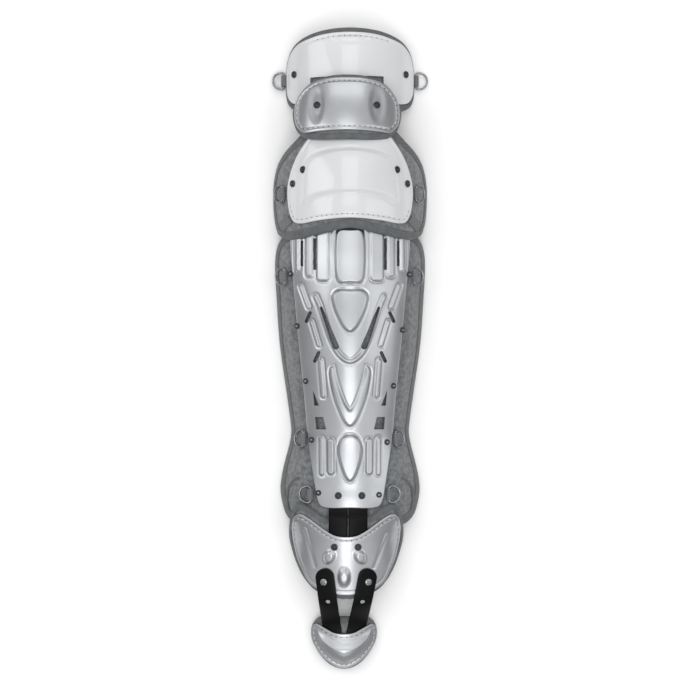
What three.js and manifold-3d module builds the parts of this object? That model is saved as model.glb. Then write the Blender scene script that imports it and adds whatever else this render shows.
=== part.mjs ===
// A catcher's leg guard lying on its back: thigh end at +Y, front of the leg up.
// Every piece is drawn flat, then draped over the curved form of the part of the leg that it covers.
import * as THREE from "three";
import { mergeVertices } from "three/addons/utils/BufferGeometryUtils.js";
import Module from "manifold-3d";

const wasm = await Module();
wasm.setup();

// General sizes, in millimetres
const clearance = 0.35;
const foam = 10;
const capFoam = 8;
const toeFoam = 8;
const shellWall = 2.6;
const relief = 1.2;
const webbing = 1.8;
const strapThick = 2.2;
const meshStep = 30;

// How many points go round each part's outlines
const thighPoints = 22;
const capPoints = 20;
const kneePoints = 26;
const shinPoints = 34;
const instepPoints = 26;
const toePoints = 18;
const stripColumn = 18;

// A shell is pressed this far into its pad, and what runs under it lies in a channel below that
const press = 0.3;
const shellTop = shellWall - press;
const underShell = -press - clearance;

// Webbing and straps lie this much deeper, or higher, than the clearance asks, because they stay flat
// between the folds of the plate
const slack = 0.6;
const underStrap = underShell - slack;
const overShell = shellTop + clearance + slack;

// Lengths along the leg, and how far each piece laps over the next
const thighPadLength = 107;
const thighPadWidth = 170;
const thighShellLength = 92;
const thighShellWidth = 165;
const thighShellInset = 7;
const capPadLength = 87;
const capPadWidth = 143;
const capShellLength = 73;
const capShellWidth = 134;
const capShellInset = 5.6;
const capOverThigh = 44;
const capOverKnee = 23;
const kneePadLength = 150;
const kneePadWidth = 204;
const kneeShellLength = 126;
const kneeShellWidth = 161;
const kneeShellEnd = 20;
const kneeOverShinPad = 23;
const shinPadWidth = 199;
const shinShellLength = 379;
const shinShellWidth = 156;
const shinShellInset = -8;
const shinPadPastShell = 29;
const shinPadLength = shinShellInset + shinShellLength + shinPadPastShell;
const instepOverShin = 34;
const instepPadLength = 125.5;
const instepPadWidth = 152;
const instepShellLength = 106;
const instepShellWidth = 140;
const instepShellEnd = 6;
const toeGap = 23;
const toePadLength = 72.7;
const toePadWidth = 89.4;
const toeShellLength = 58;
const toeShellWidth = 84;
const toeShellEnd = 2.6;

// Heights of the ridge line over the floor, at the top of each pad
const thighHeight = 54;
const capHeight = 89;
const kneeHeight = 89.5;
const shinHeight = 74.5;
const instepHeight = 60;
const toeHeight = 20;
const wingLift = 2;
const toeBulge = 5;

// How far the lowest pad edge is pressed flat where the guard rests
const pressedFlat = 0.9;

// How far the lower pieces lie off the shin's centre line
const capShift = -4;
const instepShift = -5;
const toeShift = -8;

// Fasteners and straps
const rivetHead = 4.2;
const rivetShank = 1.9;
const rivetRise = 1.6;
const ringWire = 2.6;
const ringInside = 19;
const ringDepth = 12;
const tabWidth = 14.5;
const tabTail = 10;
const webWidth = 90;
const webUnderKnee = 18;
const linkWidth = 60;
const linkUnderKnee = 30;
const linkUnderShin = 8;
const hingeStrapWidth = 24.5;
const toeStrapWidth = 24.5;

// Places along the leg, worked out from the thigh end down
const thighTop = 0;
const capTop = thighTop - thighPadLength + capOverThigh;
const kneeTop = capTop - capPadLength + capOverKnee;
const shinTop = kneeTop - kneePadLength + kneeOverShinPad;
const instepTop = shinTop - shinPadLength + instepOverShin;
const toeTop = instepTop - instepPadLength - toeGap;

// Turns plain rows of numbers into rows with named columns
const table = (columns, rows) =>
  rows.map((row) => Object.fromEntries(columns.map((name, i) => [name, row[i]])));

// Smooth value of one column at a share of the length
function column(rows, name, share) {
  const last = rows.length - 1;
  const along = THREE.MathUtils.clamp(share, rows[0].along, rows[last].along);
  let i = 0;
  while (i < last - 1 && rows[i + 1].along < along) i += 1;
  const slope = (a, b) => (rows[b][name] - rows[a][name]) / (rows[b].along - rows[a].along);
  const tangent = (k) => slope(Math.max(k - 1, 0), Math.min(k + 1, last));
  const span = rows[i + 1].along - rows[i].along;
  const f = (along - rows[i].along) / span;
  const rise = rows[i + 1][name] - rows[i][name];
  const start = tangent(i) * span;
  const end = tangent(i + 1) * span;
  return rows[i][name] + f * (start + f * (3 * rise - 2 * start - end + f * (start + end - 2 * rise)));
}

// A form is the curved front of one part of the leg: a ridge line with sides that fall away.
// wrap says how far the sides turn down: 0.8 is shallow, 0.95 nearly upright at the edge.
function makeForm({ centre, top, length, halfWidth, height, wrap, rows }) {
  const full = 1 - Math.sqrt(1 - wrap * wrap);
  const steepest = wrap * wrap / Math.sqrt(1 - wrap * wrap) / full;
  const surface = (x, y) => {
    const share = (top - y) / length;
    const half = halfWidth * column(rows, "half", share);
    const ridge = height * column(rows, "ridge", share);
    const edge = height * column(rows, "edge", share) + wingLift;
    const s = Math.abs(x - centre) / half;
    const inside = Math.min(s, 1);
    const fall = (1 - Math.sqrt(1 - (wrap * inside) ** 2)) / full + steepest * (s - inside);
    return ridge - (ridge - edge) * fall;
  };
  return { centre, top, length, surface };
}

// Joins two forms: the first holds above the line at start, the second below the line at end
function blendForms(first, second, start, end) {
  const surface = (x, y) => {
    const f = THREE.MathUtils.smoothstep(start - y, 0, start - end);
    return first.surface(x, y) * (1 - f) + second.surface(x, y) * f;
  };
  return { centre: first.centre, surface };
}

// The frame on a form at a point: where it is, its normal, and a tangent along a plan direction
function frameOn(form, x, y, direction = [1, 0]) {
  const d = 0.5;
  const dzdx = (form.surface(x + d, y) - form.surface(x - d, y)) / (2 * d);
  const dzdy = (form.surface(x, y + d) - form.surface(x, y - d)) / (2 * d);
  const point = new THREE.Vector3(x, y, form.surface(x, y));
  const normal = new THREE.Vector3(-dzdx, -dzdy, 1).normalize();
  const [dx, dy] = direction;
  const tangent = new THREE.Vector3(dx, dy, dzdx * dx + dzdy * dy).normalize();
  return { point, normal, tangent };
}

function lift(form, x, y, t) {
  const { point, normal } = frameOn(form, x, y);
  return point.addScaledVector(normal, t);
}

// Closed solids between the language of geometry and of solids
function solidOf(geometry) {
  const bare = geometry.clone();
  bare.deleteAttribute("normal");
  bare.deleteAttribute("uv");
  const merged = mergeVertices(bare, 1e-4);
  return new wasm.Manifold(new wasm.Mesh({
    numProp: 3,
    vertProperties: new Float32Array(merged.attributes.position.array),
    triVerts: new Uint32Array(merged.index.array),
  }));
}

// The faces of the largest closed body of a cut piece, without the slivers that a cut leaves beside it
function mainBody(faces, count) {
  const leader = Array.from({ length: count }, (_, i) => i);
  const find = (i) => {
    let at = i;
    while (leader[at] !== at) at = leader[at];
    return at;
  };
  faces.forEach(([a, b, c]) => {
    leader[find(b)] = find(a);
    leader[find(c)] = find(a);
  });
  const sizes = new Map();
  faces.forEach(([a]) => sizes.set(find(a), (sizes.get(find(a)) ?? 0) + 1));
  const [[main]] = [...sizes].sort((one, other) => other[1] - one[1]);
  return faces.filter(([a]) => find(a) === main);
}

function geometryOf(solid) {
  const mesh = solid.getMesh();
  const faces = Array.from({ length: mesh.triVerts.length / 3 }, (_, i) =>
    Array.from(mesh.triVerts.slice(3 * i, 3 * i + 3)));
  const kept = mainBody(faces, mesh.vertProperties.length / 3);
  const geometry = new THREE.BufferGeometry();
  geometry.setAttribute("position", new THREE.BufferAttribute(new Float32Array(mesh.vertProperties), 3));
  geometry.setIndex(kept.flat());
  geometry.computeVertexNormals();
  return geometry;
}

function solidFrom(points, faces) {
  return new wasm.Manifold(new wasm.Mesh({
    numProp: 3,
    vertProperties: new Float32Array(points.flatMap((p) => [p.x, p.y, p.z])),
    triVerts: new Uint32Array(faces.flat()),
  }));
}

// A closed plan outline, the same on both sides of its centre line. The rows run down the right side
// from the middle of the top edge, as shares of the half width and of the length.
function outlineOf({ centre, top, width, length, rows, count }) {
  const corner = (row, side) => [centre + side * row.across * width / 2, top - row.along * length];
  const right = rows.map((row) => new THREE.Vector3(...corner(row, 1), 0));
  const left = rows.slice(1, -1).reverse().map((row) => new THREE.Vector3(...corner(row, -1), 0));
  const whole = new THREE.CatmullRomCurve3([...right, ...left], true, "centripetal");
  const half = count / 2;
  const sampled = Array.from({ length: half + 1 }, (_, i) => whole.getPointAt(i / half / 2));
  const points = sampled.map((p) => [p.x, p.y]);
  points[0][0] = centre;
  points[half][0] = centre;
  const mirrored = points.slice(1, -1).reverse().map(([x, y]) => [2 * centre - x, y]);
  return [...points, ...mirrored];
}

// Divides the straight stretches between corners into even steps
function divide(corners, step, closed) {
  const stops = closed ? [...corners, corners[0]] : corners;
  const points = stops.slice(0, -1).flatMap(([x, y], i) => {
    const [nextX, nextY] = stops[i + 1];
    const count = Math.max(1, Math.round(Math.hypot(nextX - x, nextY - y) / step));
    const share = (k) => [x + (nextX - x) * k / count, y + (nextY - y) * k / count];
    return Array.from({ length: count }, (_, k) => share(k));
  });
  return closed ? points : [...points, stops[stops.length - 1]];
}

function ovalOf(x, y, across, along, sides = 7) {
  const turn = (i) => (2 * Math.PI * (i + 0.5)) / sides;
  return Array.from({ length: sides }, (_, i) => [
    x + across * Math.cos(turn(i)),
    y + along * Math.sin(turn(i)),
  ]);
}

// A plan loop drawn in towards a spine on its centre line, by a share of the way, and grown outward
function drawnIn(outline, share, grow = 0, spine = null) {
  const xs = outline.map(([x]) => x);
  const ys = outline.map(([, y]) => y);
  const middleX = (Math.min(...xs) + Math.max(...xs)) / 2;
  const middleY = (Math.min(...ys) + Math.max(...ys)) / 2;
  const [spineTop, spineEnd] = spine ?? [middleY, middleY];
  return outline.map(([x, y]) => {
    const hubY = THREE.MathUtils.clamp(y, spineEnd, spineTop);
    const reach = Math.hypot(x - middleX, y - hubY);
    const f = share * (reach + grow) / reach;
    return [middleX + (x - middleX) * f, hubY + (y - hubY) * f];
  });
}

// A draped sheet through plan loops from its rim inward, each with its lower and upper height over the form
function sheet(form, loops) {
  const area = THREE.ShapeUtils.area(loops[0].points.map(([x, y]) => new THREE.Vector2(x, y)));
  const turned = (points) => (area < 0 ? [...points].reverse() : points);
  const count = loops[0].points.length;
  const points = [];
  for (const face of ["high", "low"]) {
    for (const loop of loops) {
      for (const [x, y] of turned(loop.points)) points.push(lift(form, x, y, loop[face]));
    }
  }
  const faces = [];
  const id = (face, ring, i) => (face * loops.length + ring) * count + (i % count);
  for (let ring = 0; ring < loops.length - 1; ring += 1) {
    for (let i = 0; i < count; i += 1) {
      faces.push([id(0, ring, i), id(0, ring, i + 1), id(0, ring + 1, i + 1)]);
      faces.push([id(0, ring, i), id(0, ring + 1, i + 1), id(0, ring + 1, i)]);
      faces.push([id(1, ring, i), id(1, ring + 1, i + 1), id(1, ring, i + 1)]);
      faces.push([id(1, ring, i), id(1, ring + 1, i), id(1, ring + 1, i + 1)]);
    }
  }
  for (let i = 0; i < count; i += 1) {
    faces.push([id(0, 0, i), id(1, 0, i), id(1, 0, i + 1)]);
    faces.push([id(0, 0, i), id(1, 0, i + 1), id(0, 0, i + 1)]);
  }
  return weld(points, faces);
}

const flatRings = (shares, low, high) => shares.map((share) => ({ share, low, high }));

function patch(form, outline, rings, { grow = 0, spine = null } = {}) {
  const loop = (share) => drawnIn(outline, share, grow, spine);
  return sheet(form, rings.map(({ share, low, high }) => ({ points: loop(share), low, high })));
}

// Welds points that meet on the spine and leaves out faces that have closed up
function weld(points, faces) {
  const seen = new Map();
  const kept = [];
  const place = points.map((p) => {
    const key = [p.x, p.y, p.z].map((v) => Math.round(v * 1e4)).join(",");
    if (!seen.has(key)) seen.set(key, kept.push(p) - 1);
    return seen.get(key);
  });
  const joined = faces.map((face) => face.map((i) => place[i]));
  return solidFrom(kept, joined.filter(([a, b, c]) => a !== b && b !== c && c !== a));
}

// A draped strip along a plan line, with square ends. A wide one is divided across as well.
function strip(form, line, width, low, high, { step = meshStep, closed = false } = {}) {
  const path = divide(line, step, closed);
  const count = path.length;
  const near = (i) => (closed ? path[(i + count) % count] : path[THREE.MathUtils.clamp(i, 0, count - 1)]);
  const [startWidth, endWidth] = Array.isArray(width) ? width : [width, width];
  const columns = Math.max(1, Math.round(startWidth / stripColumn));
  const ring = 2 * (columns + 1);
  const points = [];
  path.forEach(([x, y], i) => {
    const before = new THREE.Vector2(x - near(i - 1)[0], y - near(i - 1)[1]).normalize();
    const after = new THREE.Vector2(near(i + 1)[0] - x, near(i + 1)[1] - y).normalize();
    const ahead = before.clone().add(after).normalize();
    const bend = Math.max(0.4, Math.abs(ahead.dot(before.lengthSq() ? before : after)));
    const half = (startWidth + (endWidth - startWidth) * i / Math.max(1, count - 1)) / 2 / bend;
    for (let k = 0; k < ring; k += 1) {
      const across = half * (k <= columns ? 1 - 2 * k / columns : 2 * (k - columns - 1) / columns - 1);
      points.push(lift(form, x - ahead.y * across, y + ahead.x * across, k <= columns ? high : low));
    }
  });
  const faces = [];
  const last = closed ? count : count - 1;
  for (let i = 0; i < last; i += 1) {
    for (let k = 0; k < ring; k += 1) {
      const a = i * ring + k;
      const b = i * ring + ((k + 1) % ring);
      const c = ((i + 1) % count) * ring + ((k + 1) % ring);
      const d = ((i + 1) % count) * ring + k;
      faces.push([a, b, c], [a, c, d]);
    }
  }
  for (let k = 0; !closed && k < columns; k += 1) {
    const end = (count - 1) * ring;
    const [a, b, c, d] = [k, k + 1, ring - 2 - k, ring - 1 - k];
    faces.push([a, c, b], [a, d, c], [end + a, end + b, end + c], [end + a, end + c, end + d]);
  }
  return weld(points, faces);
}

// The same strip with room all round it, to cut its channel
function stripRoom(form, line, width, low, high, room, step = meshStep) {
  const longer = (end, next) => {
    const reach = Math.hypot(end[0] - next[0], end[1] - next[1]);
    return [end[0] + (end[0] - next[0]) * room / reach, end[1] + (end[1] - next[1]) * room / reach];
  };
  const first = longer(line[0], line[1]);
  const last = longer(line[line.length - 1], line[line.length - 2]);
  const whole = [first, ...line.slice(1, -1), last];
  return strip(form, whole, width + 2 * room, low - room, high + room, { step });
}

const peg = (form, x, y, radius, low, high) =>
  patch(form, ovalOf(x, y, radius, radius), flatRings([1, 0], low, high));

// A form raised or lowered by t, measured square to it
function lifted(form, t) {
  const surface = (x, y) => form.surface(x, y) + t / frameOn(form, x, y).normal.z;
  return { centre: form.centre, surface };
}

// The curved forms of the leg. Heights and half widths are shares of the sizes named above.
const formRow = ["along", "half", "ridge", "edge"];

const thighForm = makeForm({
  centre: 0,
  top: thighTop,
  length: thighPadLength,
  halfWidth: thighPadWidth / 2 + 2,
  height: thighHeight,
  wrap: 0.86,
  rows: table(formRow, [
    [0.0, 1, 0.90, -0.055],
    [0.5, 1, 0.97, -0.055],
    [1.0, 1, 1.00, -0.055],
  ]),
});

const kneeForm = makeForm({
  centre: 0,
  top: kneeTop,
  length: kneePadLength,
  halfWidth: kneePadWidth / 2,
  height: kneeHeight,
  wrap: 0.95,
  rows: table(formRow, [
    [0.00, 1, 0.80, 0],
    [0.15, 1, 0.89, -0.01],
    [0.35, 1, 0.96, -0.031],
    [0.60, 1, 1.00, -0.031],
    [1.00, 1, 0.99, 0],
  ]),
});

const shinForm = makeForm({
  centre: 0,
  top: shinTop,
  length: shinPadLength,
  halfWidth: shinPadWidth / 2,
  height: shinHeight,
  wrap: 0.95,
  rows: table(formRow, [
    [0.00, 0.97, 0.97, 0],
    [0.10, 0.99, 0.98, 0],
    [0.20, 0.995, 1.00, 0],
    [0.32, 0.965, 1.00, 0],
    [0.45, 0.905, 0.96, 0],
    [0.57, 0.845, 0.90, 0],
    [0.69, 0.785, 0.84, 0],
    [0.77, 0.85, 0.81, 0],
    [0.86, 0.93, 0.79, 0],
    [0.92, 0.91, 0.78, 0],
    [1.00, 0.88, 0.70, 0],
  ]),
});

const instepForm = makeForm({
  centre: instepShift,
  top: instepTop,
  length: instepPadLength,
  halfWidth: instepPadWidth / 2 + 2,
  height: instepHeight,
  wrap: 0.9,
  rows: table(formRow, [
    [0.00, 1, 1.04, 0.54],
    [0.15, 1, 1.01, 0.50],
    [0.28, 1, 0.97, 0.24],
    [0.42, 1, 0.93, 0.02],
    [0.70, 1, 0.84, 0.00],
    [1.00, 1, 0.74, 0.00],
  ]),
});

const toeForm = makeForm({
  centre: toeShift,
  top: toeTop,
  length: toePadLength,
  halfWidth: toePadWidth / 2 + 1,
  height: toeHeight,
  wrap: 0.8,
  rows: table(formRow, [
    [0.0, 1, 1.00, 0.08],
    [0.4, 1, 0.98, -0.02],
    [0.8, 1, 0.82, -0.06],
    [1.0, 1, 0.60, -0.08],
  ]),
});

const capForm = makeForm({
  centre: capShift,
  top: capTop,
  length: capPadLength,
  halfWidth: capPadWidth / 2 + 2,
  height: capHeight,
  wrap: 0.9,
  rows: table(formRow, [
    [0.00, 1, 0.74, 0.36],
    [0.25, 1, 0.85, 0.42],
    [0.50, 1, 0.935, 0.48],
    [0.75, 1, 0.985, 0.52],
    [1.00, 1, 1.00, 0.54],
  ]),
});

// Plan outlines, down the right side from the middle of the top edge
const edgeRow = ["across", "along"];

const thighPadOutline = outlineOf({
  count: thighPoints,
  centre: 0,
  top: thighTop,
  width: thighPadWidth,
  length: thighPadLength,
  rows: table(edgeRow, [
    [0, 0], [0.36, 0.02], [0.63, 0.07], [0.82, 0.15], [0.93, 0.26], [0.985, 0.4], [1, 0.55],
    [1, 0.8], [0.96, 0.92], [0.86, 1], [0.5, 1], [0, 1],
  ]),
});

const thighShellTop = thighTop - thighShellInset;
const thighShellOutline = outlineOf({
  count: thighPoints,
  centre: 0,
  top: thighShellTop,
  width: thighShellWidth,
  length: thighShellLength,
  rows: table(edgeRow, [
    [0, 0], [0.37, 0.02], [0.63, 0.075], [0.83, 0.155], [0.94, 0.28], [0.99, 0.46], [1, 0.68],
    [0.98, 0.86], [0.91, 0.97], [0.8, 1], [0.4, 1], [0, 1],
  ]),
});

const capPadOutline = outlineOf({
  count: capPoints,
  centre: capShift,
  top: capTop,
  width: capPadWidth,
  length: capPadLength,
  rows: table(edgeRow, [
    [0, 0], [0.3, 0.015], [0.58, 0.085], [0.78, 0.2], [0.91, 0.35], [0.985, 0.5], [1, 0.6],
    [0.975, 0.735], [0.91, 0.875], [0.8, 0.96], [0.5, 1], [0, 1],
  ]),
});

const capShellTop = capTop - capShellInset;
const capShellOutline = outlineOf({
  count: capPoints,
  centre: capShift,
  top: capShellTop,
  width: capShellWidth,
  length: capShellLength,
  rows: table(edgeRow, [
    [0, 0], [0.37, 0.02], [0.65, 0.09], [0.87, 0.25], [0.975, 0.43], [1, 0.62], [0.98, 0.81],
    [0.9, 0.93], [0.82, 0.985], [0.5, 0.97], [0, 0.95],
  ]),
});

const kneePadOutline = outlineOf({
  count: kneePoints,
  centre: 0,
  top: kneeTop,
  width: kneePadWidth,
  length: kneePadLength,
  rows: table(edgeRow, [
    [0, 0], [0.5, 0.02], [0.71, 0.143], [0.855, 0.246], [0.943, 0.35], [0.993, 0.5], [1, 0.63],
    [0.968, 0.864], [0.91, 0.966], [0.81, 1], [0.6, 0.985], [0.3, 0.945], [0, 0.912],
  ]),
});

const kneeShellTop = kneeTop - kneePadLength + kneeShellEnd + kneeShellLength;
const kneeShellOutline = outlineOf({
  count: kneePoints,
  centre: 0,
  top: kneeShellTop,
  width: kneeShellWidth,
  length: kneeShellLength,
  rows: table(edgeRow, [
    [0, 0], [0.42, 0.02], [0.62, 0.1], [0.72, 0.18], [0.83, 0.29], [0.92, 0.42], [0.98, 0.56],
    [1, 0.68], [0.985, 0.8], [0.95, 0.91], [0.88, 0.985], [0.78, 1], [0.5, 0.975], [0, 0.95],
  ]),
});

const shinPadOutline = outlineOf({
  count: shinPoints,
  centre: 0,
  top: shinTop,
  width: shinPadWidth,
  length: shinPadLength,
  rows: table(edgeRow, [
    [0, 0], [0.5, 0.004], [0.8, 0.025], [0.94, 0.06], [0.99, 0.1], [1, 0.15], [0.98, 0.24],
    [0.935, 0.4], [0.85, 0.55], [0.8, 0.64], [0.784, 0.688], [0.81, 0.727], [0.89, 0.805],
    [0.928, 0.87], [0.9, 0.922], [0.845, 0.96], [0.73, 0.987], [0.5, 1], [0, 1],
  ]),
});

const shinShellTop = shinTop - shinShellInset;
const shinShellOutline = outlineOf({
  count: shinPoints,
  centre: 0,
  top: shinShellTop,
  width: shinShellWidth,
  length: shinShellLength,
  rows: table(edgeRow, [
    [0, 0], [0.6, 0.004], [0.88, 0.015], [0.975, 0.045], [0.985, 0.09], [0.97, 0.145],
    [0.92, 0.26], [0.853, 0.41], [0.755, 0.612], [0.685, 0.77], [0.585, 0.92], [0.55, 0.965],
    [0.49, 0.993], [0.4, 1], [0, 1],
  ]),
});

const instepPadOutline = outlineOf({
  count: instepPoints,
  centre: instepShift,
  top: instepTop,
  width: instepPadWidth,
  length: instepPadLength,
  rows: table(edgeRow, [
    [0, 0.145], [0.35, 0.145], [0.5, 0.09], [0.66, 0.03], [0.8, 0], [0.9, 0.03], [0.97, 0.13],
    [1, 0.3], [0.99, 0.4], [0.93, 0.54], [0.845, 0.675], [0.73, 0.8], [0.57, 0.905], [0.4, 0.955],
    [0.1, 1], [0, 1],
  ]),
});

const instepShellTop = instepTop - instepPadLength + instepShellEnd + instepShellLength;
const instepShellOutline = outlineOf({
  count: instepPoints,
  centre: instepShift,
  top: instepShellTop,
  width: instepShellWidth,
  length: instepShellLength,
  rows: table(edgeRow, [
    [0, 0.275], [0.2, 0.26], [0.37, 0.2], [0.55, 0.115], [0.7, 0.045], [0.85, 0], [0.95, 0.03],
    [1, 0.14], [0.995, 0.25], [0.96, 0.4], [0.9, 0.56], [0.81, 0.7], [0.69, 0.85], [0.5, 0.935],
    [0.25, 0.985], [0, 1],
  ]),
});

const toePadOutline = outlineOf({
  count: toePoints,
  centre: toeShift,
  top: toeTop,
  width: toePadWidth,
  length: toePadLength,
  rows: table(edgeRow, [
    [0, 0.02], [0.4, 0.03], [0.7, 0.03], [0.86, 0.09], [0.96, 0.19], [1, 0.33], [0.965, 0.48],
    [0.86, 0.62], [0.69, 0.77], [0.47, 0.9], [0.22, 0.98], [0, 1],
  ]),
});

const toeShellTop = toeTop - toePadLength + toeShellEnd + toeShellLength;
const toeShellOutline = outlineOf({
  count: toePoints,
  centre: toeShift,
  top: toeShellTop,
  width: toeShellWidth,
  length: toeShellLength,
  rows: table(edgeRow, [
    [0, 0.215], [0.3, 0.19], [0.5, 0.12], [0.68, 0.05], [0.85, 0], [0.96, 0.05], [1, 0.2],
    [0.97, 0.4], [0.84, 0.58], [0.63, 0.77], [0.4, 0.9], [0.15, 0.985], [0, 1],
  ]),
});

// Half width of a plan outline, measured from its centre line, at a place along the leg
function halfWidthAt(outline, centre, y) {
  let widest = 0;
  outline.forEach(([x, from], i) => {
    const [nextX, to] = outline[(i + 1) % outline.length];
    if ((from - y) * (to - y) > 0 || from === to) return;
    const f = (y - from) / (to - from);
    widest = Math.max(widest, x + (nextX - x) * f - centre);
  });
  return widest;
}

// Plates and pads, each as a function of the room to leave round it, so that a neighbour can be cut clear
const plateShares = [1, 0.74, 0.4, 0];
const wideShares = [1, 0.8, 0.54, 0.27, 0];

function plate(form, outline, shares, spine) {
  const rings = (room) => flatRings(shares, -press - room, shellTop + room);
  return (room) => patch(form, outline, rings(room), { grow: room, spine });
}

// A pad has a rounded rim, its full thickness inside that, and a shallow seat that its plate is pressed into
const rimShare = 0.965;

function cushion(form, outline, plateOutline, thick, shares, spine, plateSpine) {
  return (room) => {
    const rim = [
      { points: drawnIn(outline, 1, room, spine), low: -0.72 * thick - room, high: -0.28 * thick + room },
      { points: drawnIn(outline, rimShare, room, spine), low: -thick - room, high: room },
    ];
    const inside = shares.map((share) => ({
      points: drawnIn(plateOutline, share, clearance, plateSpine),
      low: -thick - room,
      high: room || underShell,
    }));
    const lip = room ? [] : [{ ...inside[0], high: 0 }];
    return sheet(form, [...rim, ...lip, ...inside]);
  };
}

const shinSpine = [shinTop - 0.22 * shinPadLength, shinTop - 0.84 * shinPadLength];
const shinPlateSpine = [shinShellTop - 0.2 * shinShellLength, shinShellTop - 0.86 * shinShellLength];

const thighShell = plate(thighForm, thighShellOutline, plateShares);
const capShell = plate(capForm, capShellOutline, plateShares);
const kneeShell = plate(kneeForm, kneeShellOutline, wideShares);
const shinShell = plate(shinForm, shinShellOutline, wideShares, shinPlateSpine);
const instepShell = plate(instepForm, instepShellOutline, plateShares);

const thighPad = cushion(thighForm, thighPadOutline, thighShellOutline, foam, plateShares);
const capPad = cushion(capForm, capPadOutline, capShellOutline, capFoam, plateShares);
const kneePad = cushion(kneeForm, kneePadOutline, kneeShellOutline, foam, wideShares);

// The shin plate reaches past its pad's top edge, but its seat ends inside the pad's corners
const seatTop = shinTop - 21;
const seatWhole = 30;
const shinSeat = shinShellOutline.map(([x, y]) => [x, Math.min(y, seatTop)]);
const shinPad = cushion(shinForm, shinPadOutline, shinSeat, foam, wideShares, shinSpine, shinPlateSpine);
const instepPad = cushion(instepForm, instepPadOutline, instepShellOutline, foam, plateShares);
const toePad = cushion(toeForm, toePadOutline, toeShellOutline, toeFoam, plateShares);

// The toe plate is domed over the toes inside a flat rim
const toeRow = ["share", "bulge"];
const toeDome = table(toeRow, [[1, 0], [0.8, 0.04], [0.62, 0.6], [0.38, 0.95], [0, 1]]);
const toePlate = (room) => patch(
  toeForm,
  toeShellOutline,
  toeDome.map(({ share, bulge }) => ({
    share,
    low: -press + 0.6 * toeBulge * bulge - room,
    high: shellTop + toeBulge * bulge + room,
  })),
  { grow: room },
);
const toeShell = toePlate(0);
const toeShellRoom = toePlate(clearance);

// Wide elastic web: sewn under the thigh plate, out through its slot, over the plate's lower part and
// down under the knee plate's top edge
const slotTop = thighTop - 0.6 * thighPadLength;
const slotLength = 9;
const slotEnd = slotTop - slotLength;
const webOut = blendForms(
  lifted(thighForm, underStrap),
  lifted(thighForm, overShell + webbing),
  slotTop,
  slotEnd,
);
const webForm = blendForms(webOut, lifted(kneeForm, underStrap), capTop - 0.5 * capPadLength, kneeTop + 3);
const webSewn = 10;
const webMiddle = capShift;
const webLine = [[webMiddle, slotTop + webSewn], [webMiddle, kneeTop - webUnderKnee]];
const thighWeb = strip(webForm, webLine, webWidth, -webbing, 0, { step: 10 });
const webTuck = (form, from, to) => {
  const line = [[webMiddle, from + clearance], [webMiddle, to - clearance]];
  return strip(form, line, webWidth + 4 * slack, underStrap - webbing - clearance - slack, foam);
};
const thighTuck = webTuck(thighForm, webLine[0][1], slotEnd);
const kneeTuck = webTuck(kneeForm, kneeTop + 3, webLine[1][1]);
const slotLine = [[webMiddle, slotTop + 1], [webMiddle, slotEnd - 1]];
const webSlot = strip(thighForm, slotLine, webWidth + 4, -foam, foam);

// Hidden link between the knee pad's underside and the shin plate's top edge
const linkForm = lifted(kneeForm, -foam - clearance - slack);
const linkLine = [[0, shinTop + linkUnderKnee], [0, shinTop - linkUnderShin]];
const shinLink = strip(linkForm, linkLine, linkWidth, -webbing, 0, { step: 10 });

// Hinge straps: under the shin plate's lower edge, over the gap, under the instep plate
const shinShellEnd = shinShellTop - shinShellLength;
const hingeForm = blendForms(
  lifted(shinForm, underStrap),
  lifted(instepForm, underStrap),
  shinShellEnd - 1,
  shinShellEnd - 15,
);
const hingeTop = shinShellEnd + 26;
const hingeEnd = instepShellTop - 0.46 * instepShellLength;
const hingeGap = 1.5;
const hingeAcross = (hingeStrapWidth + hingeGap) / 2;
const hingeMiddle = instepShift / 2;

// Toe straps: from the rivets on the instep plate down under the toe plate's upper edge
const strapLow = lifted(toeForm, underStrap);
const strapTop = overShell + strapThick;
const strapHigh = lifted(instepForm, strapTop);
const instepShellBottom = instepShellTop - instepShellLength;
const toeStrapForm = blendForms(strapHigh, strapLow, instepShellBottom, toeShellTop - 0.15 * toeShellLength);
const toeStrapTop = instepShellTop - 0.67 * instepShellLength - toeStrapWidth / 2;
const toeStrapEnd = toeShellTop - 0.3 * toeShellLength;
const toeStrapSpread = { top: 0.37, end: 0.19 };

const sides = [
  { side: "left", sign: -1, rings: 2 },
  { side: "right", sign: 1, rings: 1 },
];

const hingeLines = sides.map(({ sign }) => [
  [hingeMiddle + sign * hingeAcross, hingeTop],
  [hingeMiddle + sign * hingeAcross, hingeEnd],
]);
const toeStrapLines = sides.map(({ sign }) => [
  [instepShift + sign * toeStrapSpread.top * instepPadWidth / 2, toeStrapTop],
  [toeShift + sign * toeStrapSpread.end * instepPadWidth / 2, toeStrapEnd],
]);

// Webbing tabs with their D-rings, at the edges of the plates. reach is how far outside the plate's edge
// the ring's bar lies, tilt how many degrees the ring stands off the form, and bed how deep the pad is
// pressed in under the ring.
const tabRow = ["place", "form", "plate", "edge", "y", "reach", "tilt", "bed"];
const tabPlaces = table(tabRow, [
  ["thigh", thighForm, thighShell(clearance), thighShellOutline, thighTop - 0.615 * thighPadLength, 3, 58, 0],
  ["knee", kneeForm, kneeShell(clearance), kneeShellOutline, kneeTop - 0.6 * kneePadLength, 4.6, 16, 0],
  ["shin_high", shinForm, shinShell(clearance), shinShellOutline, shinTop - 0.177 * shinPadLength, 9, 16, 0],
  ["shin_low", shinForm, shinShell(clearance), shinShellOutline, shinTop - 0.706 * shinPadLength, 4.6, 6, 1],
  ["ankle", shinForm, shinShell(clearance), shinShellOutline, shinTop - 0.885 * shinPadLength, 6.4, 12, 0.6],
]);

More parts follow.
